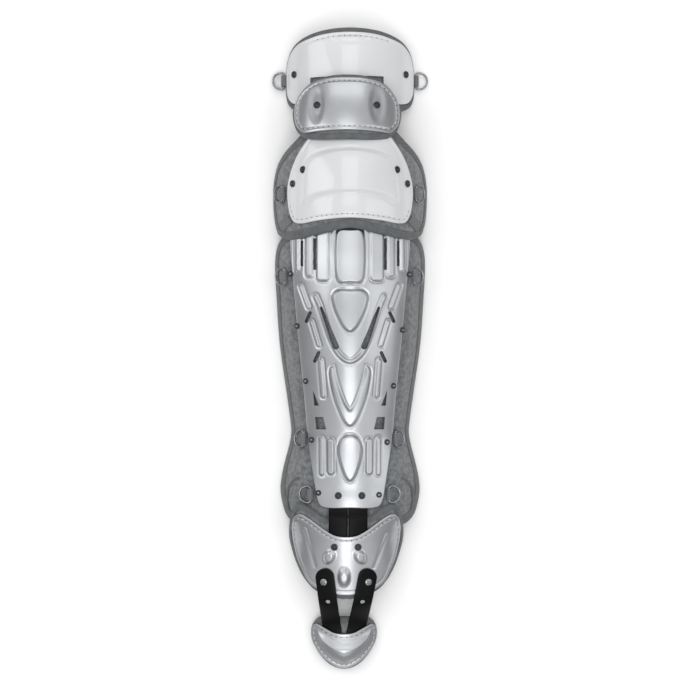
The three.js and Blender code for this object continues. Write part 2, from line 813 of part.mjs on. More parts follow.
// A loop's side view: two half circles, drawn apart where it holds more than one ring
function loopProfile(radius, rise) {
  const shape = new THREE.Shape();
  shape.absarc(0, rise, radius, 0, Math.PI);
  shape.absarc(0, 0, radius, Math.PI, 2 * Math.PI);
  shape.closePath();
  return shape;
}

function loopSolid(radius, rise, hole, width, place) {
  const shape = loopProfile(radius, rise);
  if (hole > 0) shape.holes.push(loopProfile(hole, rise));
  const block = new THREE.ExtrudeGeometry(shape, { depth: width, bevelEnabled: false, curveSegments: 2 });
  block.translate(0, 0, -width / 2);
  return solidOf(block.applyMatrix4(place));
}

// A D-ring's centre line: a straight bar at the origin and a bow away from it
function ringCurve(k, pitch) {
  const half = (ringInside + ringWire) / 2;
  const deep = ringDepth + ringWire;
  const rows = table(["across", "out"], [
    [-0.76, 0], [0, 0], [0.76, 0], [1, 0.2], [0.9, 0.58], [0.55, 0.89], [0, 1], [-0.55, 0.89],
    [-0.9, 0.58], [-1, 0.2],
  ]);
  const points = rows.map(({ across, out }) => new THREE.Vector3(out * deep, k * pitch, -across * half));
  return new THREE.CatmullRomCurve3(points, true, "centripetal");
}

function tabOf(row, { side, sign, rings }) {
  const { place, form, plate: plateRoom, edge: outline, y, reach, tilt, bed } = row;
  const centre = form.centre;
  const edge = halfWidthAt(outline, centre, y);
  const line = [[centre + sign * (edge - tabTail), y], [centre + sign * (edge + reach), y]];
  const { point, normal, tangent } = frameOn(form, ...line[1], [sign, 0]);
  const turn = THREE.MathUtils.degToRad(tilt);
  const out = tangent.clone().multiplyScalar(Math.cos(turn)).addScaledVector(normal, Math.sin(turn));
  const up = normal.clone().multiplyScalar(Math.cos(turn)).addScaledVector(tangent, -Math.sin(turn));
  const bar = point.clone().addScaledVector(normal, ringWire / 2 + clearance);
  const matrix = new THREE.Matrix4().makeBasis(out, up, out.clone().cross(up)).setPosition(bar);
  const pitch = ringWire + clearance;
  const rise = (rings - 1) * pitch;
  const hole = ringWire / 2 + 1.5 * clearance;
  const low = underStrap - webbing;
  const tail = strip(form, line, tabWidth, low, underStrap);
  const loop = loopSolid(hole + webbing, rise, hole, tabWidth, matrix);
  const beyond = [line[1][0] + sign * (hole + webbing), y];
  const channel = stripRoom(form, [...line, beyond], tabWidth, low, foam, clearance);
  const under = [-ringWire, ringDepth + 2 * ringWire].map((past) => [line[1][0] + sign * past, y]);
  const ringWidth = ringInside + 2 * (ringWire + clearance);
  const room = bed > 0 ? channel.add(strip(form, under, ringWidth, -bed, foam)) : channel;
  const wires = Array.from({ length: rings }, (_, k) => {
    const wire = new THREE.TubeGeometry(ringCurve(k, pitch), 11, ringWire / 2, 5, true);
    return wire.applyMatrix4(matrix);
  });
  return { name: `${side}_${place}`, place, solid: tail.add(loop), room, plateRoom, wires };
}
const tabs = tabPlaces.flatMap((row) => sides.map((at) => tabOf(row, at)));

const roomsAt = (...places) => tabs.filter((tab) => places.includes(tab.place)).map((tab) => tab.room);

// Small patches sewn over the ends of the knee pad's binding, clear of the plate
const kneePatchRows = table(edgeRow, [[0.917, 0.856], [0.787, 0.789], [0.735, 0.853], [0.84, 0.929]]);
const patchThick = 1.4;
const kneePatches = sides.map(({ side, sign }) => {
  const corners = kneePatchRows.map(({ across, along }) => [
    sign * across * kneePadWidth / 2,
    kneeTop - along * kneePadLength,
  ]);
  const sewn = flatRings([1, 0], clearance, clearance + patchThick);
  const solid = patch(kneeForm, divide(corners, meshStep, true), sewn);
  return { name: `knee_patch_${side}`, solid: solid.subtract(kneeShell(clearance)) };
});

// Rivets: a shank through the plate and a low dome on it
const rivetRow = ["name", "form", "x", "y"];
const hingeRivetAcross = hingeAcross + 2;
const rivetPlaces = table(rivetRow, [
  ["thigh", thighForm, 0.865 * thighShellWidth / 2, thighTop - 0.555 * thighPadLength],
  ["cap", capForm, 0.576 * capShellWidth / 2, capTop - 0.48 * capPadLength],
  ["knee_high", kneeForm, 0.735 * kneeShellWidth / 2, kneeTop - 0.405 * kneePadLength],
  ["knee_low", kneeForm, 0.9 * kneeShellWidth / 2, kneeTop - 0.52 * kneePadLength],
  ["shin", shinForm, hingeRivetAcross, shinShellEnd + 0.042 * shinShellLength],
  ["instep", instepForm, hingeRivetAcross, instepShellTop - 0.4 * instepShellLength],
]);

const rivets = rivetPlaces.flatMap(({ name, form, x, y }) => sides.map(({ side, sign }) => {
  const across = form.centre + sign * x;
  const cut = peg(form, across, y, rivetShank + clearance, -foam, foam);
  return { name: `rivet_${name}_${side}`, plate: name, form, x: across, y, cut };
}));
const cutsFor = (...names) => rivets.filter(({ plate: name }) => names.includes(name)).map(({ cut }) => cut);

// The toe straps' rivets go through the strap and the instep plate below it
const strapRivetY = toeStrapTop - rivetHead;
const strapRivets = sides.map(({ side }, i) => {
  const [[x0, y0], [x1, y1]] = toeStrapLines[i];
  const f = (strapRivetY - y0) / (y1 - y0);
  const x = x0 + (x1 - x0) * f;
  const drill = peg(instepForm, x, strapRivetY, rivetShank + clearance, -foam, foam);
  return { name: `rivet_toe_strap_${side}`, form: instepForm, x, y: strapRivetY, cut: drill };
});

function rivetGeometry(depth) {
  const profile = table(["radius", "height"], [
    [0, -depth], [rivetShank, -depth], [rivetShank, 0], [rivetHead, 0], [0.74 * rivetHead, 0.75 * rivetRise],
    [0, rivetRise],
  ]);
  return new THREE.LatheGeometry(profile.map(({ radius, height }) => new THREE.Vector2(radius, height)), 7);
}

// Plate details. Places are shares of the plate's half width and length.
const placeOn = (top, width, length, centre) => ({ across, along }) =>
  [centre + across * width / 2, top - along * length];
const onShin = placeOn(shinShellTop, shinShellWidth, shinShellLength, 0);
const onKnee = placeOn(kneeShellTop, kneeShellWidth, kneeShellLength, 0);
const mirrored = (rows) => rows.map((row) => ({ ...row, across: -row.across }));
const bothSides = (rows) => [rows, mirrored(rows)];
const wholeOf = (rows) => [...rows, ...mirrored(rows).reverse().filter(({ across }) => across !== 0)];
const root = 1.4;
const raise = (form, corners, from, rise, step = meshStep, shares = [1, 0]) =>
  patch(form, divide(corners, step, true), flatRings(shares, from - root, from + rise));
const pierce = (form, corners) =>
  patch(form, divide(corners, meshStep, true), flatRings([1, 0], -foam / 2, foam));

// Upright ribs and slots near the shin plate's top
const bandRow = ["inner", "outer", "from", "to"];
const bandCorners = ({ inner, outer, from, to }) => table(edgeRow, [
  [inner, from], [outer, from], [outer, to], [inner, to],
]);
const shinRibs = table(bandRow, [
  [0.342, 0.533, 0.05, 0.225],
  [0.612, 0.717, 0.05, 0.21],
  [0.828, 0.908, 0.06, 0.19],
]);
const shinSlots = table(bandRow, [
  [0.55, 0.598, 0.079, 0.187],
  [0.762, 0.81, 0.086, 0.174],
]);
const shinCentre = table(edgeRow, [[0.198, 0.05], [0.198, 0.228]]);
const shinStep = table(edgeRow, [[0, 0.247], [0.3, 0.247], [0.56, 0.2765], [0.27, 0.452], [0, 0.5]]);
const shinShield = table(edgeRow, [[0.24, 0.268], [0.215, 0.32], [0.12, 0.355], [0, 0.387]]);

// Ribs and slots that run at a slant, as lines with a width in millimetres
const lineRow = ["across", "along", "toAcross", "toAlong", "width", "toWidth"];
const shinBars = table(lineRow, [
  [0.803, 0.2414, 0.677, 0.3125, 4, 4],
  [0.623, 0.364, 0.507, 0.443, 4, 4],
  [0.475, 0.498, 0.433, 0.615, 6, 6],
  [0.46, 0.765, 0.46, 0.882, 5.7, 5.7],
  [0.31, 0.773, 0.31, 0.875, 10, 10],
]);
const shinCuts = table(lineRow, [
  [0.463, 0.316, 0.23, 0.4475, 2.2, 7],
  [0.645, 0.3335, 0.708, 0.362, 4.5, 4.5],
  [0.507, 0.4694, 0.57, 0.4976, 4.5, 4.5],
]);
const shinWindows = [
  table(edgeRow, [[0.6, 0.598], [0.58, 0.65], [0.5, 0.65]]),
  table(edgeRow, [[0.566, 0.689], [0.435, 0.689], [0.385, 0.7315], [0.55, 0.7315]]),
];
const shinVee = table(edgeRow, [[0.29, 0.525], [0, 0.69]]);
const veeWidth = 6;
const shinDrop = table(edgeRow, [[0, 0.753], [0.11, 0.765], [0.165, 0.803], [0.12, 0.85], [0, 0.902]]);
const dropWidth = 3.4;
const kneePanel = table(edgeRow, [
  [0, 0.275], [0.33, 0.295], [0.6, 0.345], [0.66, 0.6], [0.58, 0.73], [0.3, 0.69], [0, 0.68],
]);

const slantedOn = (low, high) => (row) => [1, -1].map((sign) => {
  const line = [
    onShin({ across: sign * row.across, along: row.along }),
    onShin({ across: sign * row.toAcross, along: row.toAlong }),
  ];
  return strip(shinForm, line, [row.width, row.toWidth], low, high, { step: 2 * meshStep });
});

const shinRaised = [
  ...shinRibs.flatMap((row) => bothSides(bandCorners(row)).map((rows) =>
    raise(shinForm, rows.map(onShin), shellTop, relief, 2 * meshStep))),
  raise(shinForm, wholeOf(shinCentre).map(onShin), shellTop, relief, 1.5 * meshStep),
  raise(shinForm, wholeOf(shinStep).map(onShin), shellTop, relief, meshStep, [1, 0.55, 0]),
  raise(shinForm, wholeOf(shinShield).map(onShin), shellTop + relief, relief),
  ...shinBars.flatMap(slantedOn(shellTop - root, shellTop + relief)),
  strip(shinForm, wholeOf(shinVee).map(onShin), veeWidth, shellTop - root, shellTop + relief),
  strip(shinForm, wholeOf(shinDrop).map(onShin), dropWidth, shellTop - root, shellTop + relief, {
    closed: true,
  }),
];
const shinPierced = [
  ...[...shinSlots.map(bandCorners), ...shinWindows].flatMap((rows) =>
    bothSides(rows).map((half) => pierce(shinForm, half.map(onShin)))),
  ...shinCuts.flatMap(slantedOn(-foam / 2, foam)),
];

const kneeCorners = wholeOf(kneePanel).map(onKnee);
const kneeRaised = raise(kneeForm, kneeCorners, shellTop, relief, meshStep, [1, 0.6, 0]);

// Raised ovals on the instep plate
const ovalRow = ["across", "along", "wide", "long"];
const instepOvals = table(ovalRow, [
  [-0.277, 0.41, 7, 9.7],
  [0.277, 0.41, 7, 9.7],
  [0, 0.6, 8.4, 13],
]);
const instepRaised = instepOvals.map(({ across, along, wide, long }) => {
  const x = instepShift + across * instepShellWidth / 2;
  const y = instepShellTop - (along + 0.12) * instepShellLength;
  const rings = flatRings([1, 0], shellTop - root, shellTop + relief);
  return patch(instepForm, ovalOf(x, y, wide, long, 9), rings);
});

// Long dimples in the cap plate, with the rivets at their middles
const dimple = { wide: 10, long: 25, deep: 0.7 };
const capDimples = rivets.filter(({ plate: name }) => name === "cap").map(({ x, y }) =>
  patch(
    capForm,
    ovalOf(x, y, dimple.wide, dimple.long, 8),
    flatRings([1, 0], shellTop - dimple.deep, foam),
  ));

// Put together: each piece is cut clear of what it lies on and of what runs through it
const less = (solid, ...cuts) => cuts.flat().reduce((rest, cut) => rest.subtract(cut), solid);
const plus = (solid, ...added) => added.flat().reduce((whole, piece) => whole.add(piece), solid);

const hingeStraps = hingeLines.map((line) =>
  strip(hingeForm, line, hingeStrapWidth, -strapThick, 0, { step: 9 }));
const hingeRooms = hingeLines.map((line) =>
  stripRoom(hingeForm, line, hingeStrapWidth, -strapThick, 0, clearance, 9));
const roundTop = ([x, y], room) =>
  patch(toeStrapForm, ovalOf(x, y, toeStrapWidth / 2 + room, toeStrapWidth / 2 + room, 12),
    flatRings([1, 0], -strapThick - room, room));
const toeStraps = toeStrapLines.map((line) =>
  strip(toeStrapForm, line, toeStrapWidth, -strapThick, 0, { step: 8 }).add(roundTop(line[0], 0)));
const toeStrapRooms = toeStrapLines.map((line) =>
  stripRoom(toeStrapForm, line, toeStrapWidth, -strapThick, 0, clearance, 8));

const solids = {
  thigh_pad: less(thighPad(0), thighTuck, roomsAt("thigh")),
  cap_pad: less(
    capPad(0),
    kneeShell(clearance),
    kneePad(clearance),
  ),
  knee_pad: less(
    kneePad(0),
    kneeTuck,
    shinShell(clearance + relief + 2 * slack),
    shinPad(clearance + slack),
    roomsAt("knee"),
  ),
  shin_pad: less(
    shinPad(0),
    shinShell(clearance).trimByPlane([0, 1, 0], seatTop - seatWhole),
    hingeRooms,
    instepShell(clearance),
    roomsAt("shin_high", "shin_low", "ankle"),
  ),
  instep_pad: less(
    instepPad(0),
    shinPad(clearance),
    shinShell(clearance),
    hingeRooms,
  ),
  toe_pad: less(toePad(0), toeStrapRooms),
  thigh_shell: less(thighShell(0), webSlot, cutsFor("thigh")),
  cap_shell: less(capShell(0), capDimples, cutsFor("cap")),
  knee_shell: less(
    plus(kneeShell(0), kneeRaised),
    cutsFor("knee_high", "knee_low"),
  ),
  shin_shell: less(plus(shinShell(0), shinRaised), shinPierced, cutsFor("shin")),
  instep_shell: less(
    plus(instepShell(0), instepRaised),
    cutsFor("instep"),
    strapRivets.map(({ cut }) => cut),
  ),
  toe_shell: toeShell,
  thigh_web: less(thighWeb, less(thighShell(clearance), webSlot), kneeShell(clearance)),
  shin_link: less(shinLink, shinShell(clearance + relief), kneePad(clearance)),
};

// The pads that the guard rests on are flat where they touch
const floorLevel = solids.shin_pad.boundingBox().min[2] + pressedFlat;
for (const name of ["thigh_pad", "knee_pad", "shin_pad", "toe_pad"]) {
  solids[name] = solids[name].trimByPlane([0, 0, 1], floorLevel);
}

const pieceColours = table(["suffix", "colour", "roughness", "metalness"], [
  ["pad", "#76797b", 0.9, 0],
  ["web", "#6c6f71", 0.85, 0],
  ["link", "#6c6f71", 0.85, 0],
  ["silver", "#a9abad", 0.32, 0.6],
  ["white", "#dfe0e2", 0.25, 0],
  ["strap", "#141517", 0.5, 0],
  ["chrome", "#c9cccf", 0.18, 1],
  ["rivet", "#4a4c4e", 0.35, 0.9],
]);

function meshOf(name, geometry, finish) {
  const { colour, roughness, metalness } = pieceColours.find(({ suffix }) => suffix === finish);
  const material = new THREE.MeshStandardMaterial({ color: colour, roughness, metalness });
  const mesh = new THREE.Mesh(geometry, material);
  mesh.name = name;
  return mesh;
}

function finishOf(name) {
  if (name === "thigh_shell" || name === "knee_shell") return "white";
  if (name.endsWith("shell")) return "silver";
  return name.split("_").pop();
}

function rivetMesh({ name, form, x, y }, height, depth, finish) {
  const { point, normal } = frameOn(form, x, y);
  const mesh = meshOf(name, rivetGeometry(depth), finish);
  mesh.position.copy(point.addScaledVector(normal, height));
  mesh.quaternion.setFromUnitVectors(new THREE.Vector3(0, 1, 0), normal);
  return mesh;
}

const guard = new THREE.Group();
for (const [name, solid] of Object.entries(solids)) {
  guard.add(meshOf(name, geometryOf(solid), finishOf(name)));
}
sides.forEach(({ side }, i) => {
  const hinge = less(hingeStraps[i], shinShell(clearance), instepShell(clearance));
  const toe = less(toeStraps[i], instepShell(clearance), toeShellRoom, strapRivets[i].cut);
  guard.add(meshOf(`hinge_strap_${side}`, geometryOf(hinge), "strap"));
  guard.add(meshOf(`toe_strap_${side}`, geometryOf(toe), "strap"));
  guard.add(meshOf(kneePatches[i].name, geometryOf(kneePatches[i].solid), "pad"));
});
for (const { name, solid, plateRoom, wires } of tabs) {
  guard.add(meshOf(`tab_${name}`, geometryOf(solid.subtract(plateRoom)), "web"));
  wires.forEach((wire, k) => guard.add(meshOf(`ring_${name}_${k + 1}`, wire, "chrome")));
}
const rivetHeight = shellTop + clearance;
for (const rivet of rivets) guard.add(rivetMesh(rivet, rivetHeight, rivetHeight + press, "rivet"));
const strapRivetHeight = strapTop + clearance;
for (const rivet of strapRivets) {
  guard.add(rivetMesh(rivet, strapRivetHeight, strapRivetHeight + press, "chrome"));
}

// Stands the guard on the floor, with the middle of its outline over the origin
guard.updateMatrixWorld(true);
const reach = new THREE.Box3().setFromObject(guard, true);
const middle = reach.getCenter(new THREE.Vector3());
guard.position.set(-middle.x, -middle.y, -reach.min.z);

const group = new THREE.Group();
group.add(guard);
group.updateMatrixWorld(true);

export default group;
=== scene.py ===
"""A catcher leg guard on its back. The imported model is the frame, and each piece is dressed over it."""
import math
import bmesh
import bpy
import numpy as np
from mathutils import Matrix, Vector


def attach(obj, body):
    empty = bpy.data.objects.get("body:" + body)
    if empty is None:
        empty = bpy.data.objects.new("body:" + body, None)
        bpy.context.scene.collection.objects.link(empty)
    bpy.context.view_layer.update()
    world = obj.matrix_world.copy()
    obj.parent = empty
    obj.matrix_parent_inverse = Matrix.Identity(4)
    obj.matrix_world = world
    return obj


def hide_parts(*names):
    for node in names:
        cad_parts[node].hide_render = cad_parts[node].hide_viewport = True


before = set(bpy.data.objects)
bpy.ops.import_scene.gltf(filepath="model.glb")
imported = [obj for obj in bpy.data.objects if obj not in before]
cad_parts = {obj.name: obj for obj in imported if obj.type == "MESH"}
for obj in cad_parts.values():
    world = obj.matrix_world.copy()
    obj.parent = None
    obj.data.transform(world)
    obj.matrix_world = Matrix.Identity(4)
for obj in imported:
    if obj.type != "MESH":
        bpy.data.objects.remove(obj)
bpy.ops.object.select_all(action="DESELECT")
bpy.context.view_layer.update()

# Shin pad
# Foam about 10 mm thick in brushed loop cloth, pressed to the curve of the shin, with a darker woven tape
# bound round its rim. It is the long back of the guard, and the other pieces are hung on it.
shift = np.array([0.041965, 420.479703, 1.380506])
foam = 10.0
clearance, slack, press, shell_wall = 0.35, 0.6, 0.3, 2.6
shell_top = shell_wall - press
under_shell = -press - clearance
wing_lift = 2.0
tape_proud = 0.5
shin_top, shin_length, shin_width, shin_height = -254.0, 400.0, 199.0, 74.5


def linear(colour):
    """A colour written as #rrggbb, in the shader's linear numbers."""
    parts = [int(colour[i:i + 2], 16) / 255 for i in (1, 3, 5)]
    return tuple(c / 12.92 if c <= 0.04045 else ((c + 0.055) / 1.055) ** 2.4 for c in parts) + (1.0,)


def add_node(tree, kind, settings, inputs, colours=()):
    """One shader node. An input is a number, a colour or another node's socket; colours fill a ramp."""
    node = tree.nodes.new(kind)
    for name, value in settings.items():
        setattr(node, name, value)
    for name, value in inputs.items():
        if isinstance(value, bpy.types.NodeSocket):
            tree.links.new(value, node.inputs[name])
        else:
            node.inputs[name].default_value = value
    for stop, colour in zip(node.color_ramp.elements if colours else (), colours):
        stop.color = linear(colour)
    return node


def start_material(name, **settings):
    """A material's tree, shader and object coordinates, with the constants set on the shader itself."""
    material = bpy.data.materials.new(name)
    material.use_nodes = True
    tree = material.node_tree
    shader = tree.nodes["Principled BSDF"]
    for label, value in settings.items():
        shader.inputs[label.replace("_", " ")].default_value = value
    return material, tree, shader, add_node(tree, "ShaderNodeTexCoord", {}, {}).outputs["Object"]


def mix_patterns(tree, fine, share, broad, low, high):
    """A share of a fine pattern over a broad one, spread over 0 to 1 between low and high."""
    mixed = add_node(tree, "ShaderNodeMath", {"operation": "MULTIPLY_ADD"},
                     {0: fine.outputs["Fac"], 1: share, 2: broad.outputs["Fac"]})
    return add_node(tree, "ShaderNodeMapRange", {}, {
        "Value": mixed.outputs["Value"], "From Min": low, "From Max": high}).outputs["Result"]


def surface_of(tree, shader, pattern, colours, grain=None, strength=0.0, depth=0.0):
    """Tints a surface between two colours by a pattern, and raises its grain as fine relief."""
    tone = add_node(tree, "ShaderNodeValToRGB", {}, {"Fac": pattern}, colours)
    tree.links.new(tone.outputs["Color"], shader.inputs["Base Color"])
    if grain is not None:
        bump = add_node(tree, "ShaderNodeBump", {}, {
            "Strength": strength, "Distance": depth, "Height": grain})
        tree.links.new(bump.outputs["Normal"], shader.inputs["Normal"])


def column(rows, which, along):
    """Smooth value of one column of a table whose first column is the share of the length."""
    stops = np.array([row[0] for row in rows])
    values = np.array([row[which] for row in rows])
    last = len(stops) - 1
    along = np.clip(along, stops[0], stops[-1])
    i = np.clip(np.searchsorted(stops, along, side="left") - 1, 0, last - 1)
    before, after = np.maximum(np.arange(last + 1) - 1, 0), np.minimum(np.arange(last + 1) + 1, last)
    tangent = (values[after] - values[before]) / (stops[after] - stops[before])
    span, rise = stops[i + 1] - stops[i], values[i + 1] - values[i]
    f = (along - stops[i]) / span
    start, end = tangent[i] * span, tangent[i + 1] * span
    return values[i] + f * (start + f * (3 * rise - 2 * start - end + f * (start + end - 2 * rise)))


def make_form(centre, top, length, half, height, wrap, rows):
    """The curved front of one part of the leg. The rows hold share of length, half width, ridge and edge."""
    full = 1 - math.sqrt(1 - wrap * wrap)
    steepest = wrap * wrap / math.sqrt(1 - wrap * wrap) / full

    def surface(x, y):
        share = (top - y) / length
        ridge = height * column(rows, 2, share)
        edge = height * column(rows, 3, share) + wing_lift
        s = np.abs(x - centre) / (half * column(rows, 1, share))
        inside = np.minimum(s, 1)
        fall = (1 - np.sqrt(1 - (wrap * inside) ** 2)) / full + steepest * (s - inside)
        return ridge - (ridge - edge) * fall
    return surface


def normals_on(form, plan, d=0.5):
    """Unit normals of a form over places in the plan."""
    x, y = plan[..., 0], plan[..., 1]
    n = np.stack([(form(x - d, y) - form(x + d, y)) / (2 * d), (form(x, y - d) - form(x, y + d)) / (2 * d),
                  np.ones_like(x)], axis=-1)
    return n / np.linalg.norm(n, axis=-1, keepdims=True)


def lift(form, plan, t):
    """Points t millimetres off the form, over places in the plan."""
    plan = np.asarray(plan, dtype=float)
    base = np.concatenate([plan, form(plan[..., 0], plan[..., 1])[..., None]], axis=-1)
    return base + normals_on(form, plan) * np.broadcast_to(t, plan.shape[:-1])[..., None]


def resample(path, count, closed=True):
    """The same line with even spacing."""
    line = np.vstack([path, path[:1]]) if closed else np.asarray(path, dtype=float)
    run = np.concatenate([[0], np.cumsum(np.linalg.norm(np.diff(line, axis=0), axis=1))])
    at = np.linspace(0, run[-1], count + 1)[:-1] if closed else np.linspace(0, run[-1], count)
    return np.stack([np.interp(at, run, line[:, k]) for k in range(line.shape[1])], axis=1)


def outline_of(centre, top, width, length, rows, count=400):
    """A closed outline in the plan, from rows down its right side in shares of half width and length."""
    right = [(centre + a * width / 2, top - b * length) for a, b in rows]
    left = [(2 * centre - x, y) for x, y in reversed(right[1:-1])]
    stops = np.array(right + left)
    p0, p1, p2, p3 = (np.roll(stops, k, axis=0) for k in (1, 0, -1, -2))
    d0, d1, d2 = (np.linalg.norm(b - a, axis=1)[:, None] ** 0.5 for a, b in ((p0, p1), (p1, p2), (p2, p3)))
    t1 = ((p1 - p0) / d0 - (p2 - p0) / (d0 + d1) + (p2 - p1) / d1) * d1
    t2 = ((p2 - p1) / d1 - (p3 - p1) / (d1 + d2) + (p3 - p2) / d2) * d1
    f = np.linspace(0, 1, 24, endpoint=False)[None, :, None]
    a, b, c, d = (v[:, None, :] for v in (p1, t1, -3 * p1 + 3 * p2 - 2 * t1 - t2, 2 * p1 - 2 * p2 + t1 + t2))
    return resample((a + f * (b + f * (c + f * d))).reshape(-1, 2), count)


def walk(form, plan, distance, steps=6):
    """An outline moved inward by a real distance along the form's surface."""
    for _ in range(steps):
        along = np.roll(plan, -1, axis=0) - np.roll(plan, 1, axis=0)
        along /= np.linalg.norm(along, axis=1, keepdims=True)
        side = np.stack([along[:, 1], -along[:, 0]], axis=1)
        slope = (form(*(plan + side).T) - form(*(plan - side).T)) / 2
        plan = plan + side * (distance / steps / np.sqrt(1 + slope ** 2))[:, None]
        plan = 0.9 * plan + 0.05 * (np.roll(plan, 1, axis=0) + np.roll(plan, -1, axis=0))
    return plan


def drawn(plan, share, spine=None):
    """An outline drawn in towards a spine on its centre line, by a share of the way."""
    middle = (plan.min(axis=0) + plan.max(axis=0)) / 2
    upper, lower = spine or (middle[1], middle[1])
    hub = np.stack([np.full(len(plan), middle[0]), np.clip(plan[:, 1], lower, upper)], axis=1)
    return hub + (plan - hub) * share


def from_line(points, line, closed=False):
    """Distance in the plan from each point to a line, and whether a closed line goes round the point."""
    a = np.asarray(line, dtype=float)
    b = np.roll(a, -1, axis=0)
    best, crossings = np.full(len(points), 1e9), np.zeros(len(points), dtype=int)
    x, y = points[:, 0], points[:, 1]
    for (ax, ay), (bx, by) in zip(a if closed else a[:-1], b if closed else b[:-1]):
        dx, dy = bx - ax, by - ay
        f = np.clip(((x - ax) * dx + (y - ay) * dy) / (dx * dx + dy * dy + 1e-12), 0, 1)
        best = np.minimum(best, np.hypot(x - ax - f * dx, y - ay - f * dy))
        crossings += ((ay > y) != (by > y)) & (x < ax + dx * (y - ay) / (dy if dy else 1e-12))
    return best, crossings % 2 == 1


def inside(points, plan):
    """How far each point is inside a closed outline; less than nothing when it is outside."""
    best, within = from_line(points, plan, closed=True)
    return np.where(within, best, -best)


def ease(x):
    """Goes softly from 0 to 1 as x does."""
    x = np.clip(x, 0, 1)
    return x * x * (3 - 2 * x)


def make_object(name, points, faces, *materials, crease=38):
    """A closed piece in the frame, from points in millimetres."""
    mesh = bpy.data.meshes.new(name)
    mesh.from_pydata(((np.asarray(points) + shift) * 0.001).tolist(), [], faces)
    work = bmesh.new()
    work.from_mesh(mesh)
    bmesh.ops.remove_doubles(work, verts=work.verts, dist=3e-6)
    bmesh.ops.recalc_face_normals(work, faces=work.faces)
    work.to_mesh(mesh)
    work.free()
    mesh.shade_smooth()
    mesh.set_sharp_from_angle(angle=math.radians(crease))
    piece = bpy.data.objects.new(name, mesh)
    bpy.context.collection.objects.link(piece)
    for material in materials:
        mesh.materials.append(material)
    return piece


def net(rows, across, closed=False):
    """Faces between rows of points, each row a ring. A closed net joins its last row to its first."""
    i = np.arange(across)
    j = (i + 1) % across
    faces = []
    for k in range(rows if closed else rows - 1):
        a, b = k * across, (k + 1) % rows * across
        faces += np.stack([a + i, a + j, b + j, b + i], axis=1).tolist()
    return faces


def skin(name, form, loops, material, closed=False, crease=38):
    """A closed piece through loops in the plan, each with its height over the form."""
    points = np.concatenate([lift(form, plan, t) for plan, t in loops])
    return make_object(name, points, net(len(loops), len(loops[0][0]), closed), material, crease=crease)


def only(*pieces):
    """Selects these pieces and nothing else."""
    bpy.ops.object.select_all(action="DESELECT")
    for piece in pieces:
        piece.select_set(True)
    bpy.context.view_layer.objects.active = pieces[0]


def join(*pieces):
    """Makes one piece of several; it keeps the first one's name."""
    if len(pieces) > 1:
        only(*pieces)
        bpy.ops.object.join()
    bpy.ops.object.select_all(action="DESELECT")
    return pieces[0]


def apply_modifier(piece, kind, **settings):
    """Adds a modifier with these settings and applies it."""
    modifier = piece.modifiers.new(kind.lower(), kind)
    for name, value in settings.items():
        setattr(modifier, name, value)
    only(piece)
    bpy.ops.object.modifier_apply(modifier=modifier.name)
    bpy.ops.object.select_all(action="DESELECT")


def coordinates(mesh):
    """A mesh's points as rows of numbers."""
    flat = np.empty(len(mesh.vertices) * 3)
    mesh.vertices.foreach_get("co", flat)
    return flat.reshape(-1, 3)


def swell(piece, plan, cover, most, tape_width):
    """Blows a pad up as stuffed cloth. A point may move furthest midway between the tape and the plate."""
    frames, least, from_plate, from_tape = 20, 0.1, 9, 7
    apply_modifier(piece, "REMESH", mode="VOXEL", voxel_size=0.0045)
    before = coordinates(piece.data)
    modifier = piece.modifiers.new("cloth", "CLOTH")
    modifier.settings.quality = 4
    modifier.settings.use_pressure = True
    modifier.settings.uniform_pressure_force = 4
    modifier.settings.effector_weights.gravity = 0
    modifier.point_cache.frame_start, modifier.point_cache.frame_end = 1, frames
    for number in range(1, frames + 1):
        bpy.context.scene.frame_set(number)
    graph = bpy.context.evaluated_depsgraph_get()
    after = coordinates(piece.evaluated_get(graph).data)
    piece.modifiers.remove(modifier)
    bpy.context.scene.frame_set(1)
    move = (after - before) * 1000
    flat = before[:, :2] * 1000 - shift[:2]
    room = np.minimum(ease((-inside(flat, cover[::4]) - 1) / from_plate),
                      ease((inside(flat, plan[::4]) - 0.6 * tape_width) / from_tape))
    far = np.linalg.norm(move, axis=1) + 1e-9
    allowed = least + (most - least) * room
    moved = before + move * np.minimum(1, allowed / far)[:, None] * 0.001
    piece.data.vertices.foreach_set("co", moved.ravel())


def settle(piece, form, rests, channels):
    """Keeps a pad off the floor, on top of the pieces that it lies on, and pressed in under its straps."""
    thinnest, rest_slope, channel_slope = 2.2, 1.5, 1.2
    points = coordinates(piece.data)
    flat = points[:, :2] * 1000 - shift[:2]
    height = points[:, 2] * 1000 - shift[2]
    own = form(flat[:, 0], flat[:, 1]) - thinnest
    for other, plan, t in rests:
        top = lift(other, flat, t)[:, 2] + np.minimum(0, inside(flat, plan[::4])) * rest_slope
        height = np.maximum(height, np.minimum(top, own))
    for other, line, half, t in channels:
        beside = np.maximum(0, from_line(flat, line)[0] - half - 1)
        level = lift(other, flat, t)[:, 2] + beside * channel_slope
        height = np.minimum(height, level)
    points[:, 2] = np.maximum((height + shift[2]) * 0.001, 0)
    piece.data.vertices.foreach_set("co", points.ravel())
    piece.data.update()


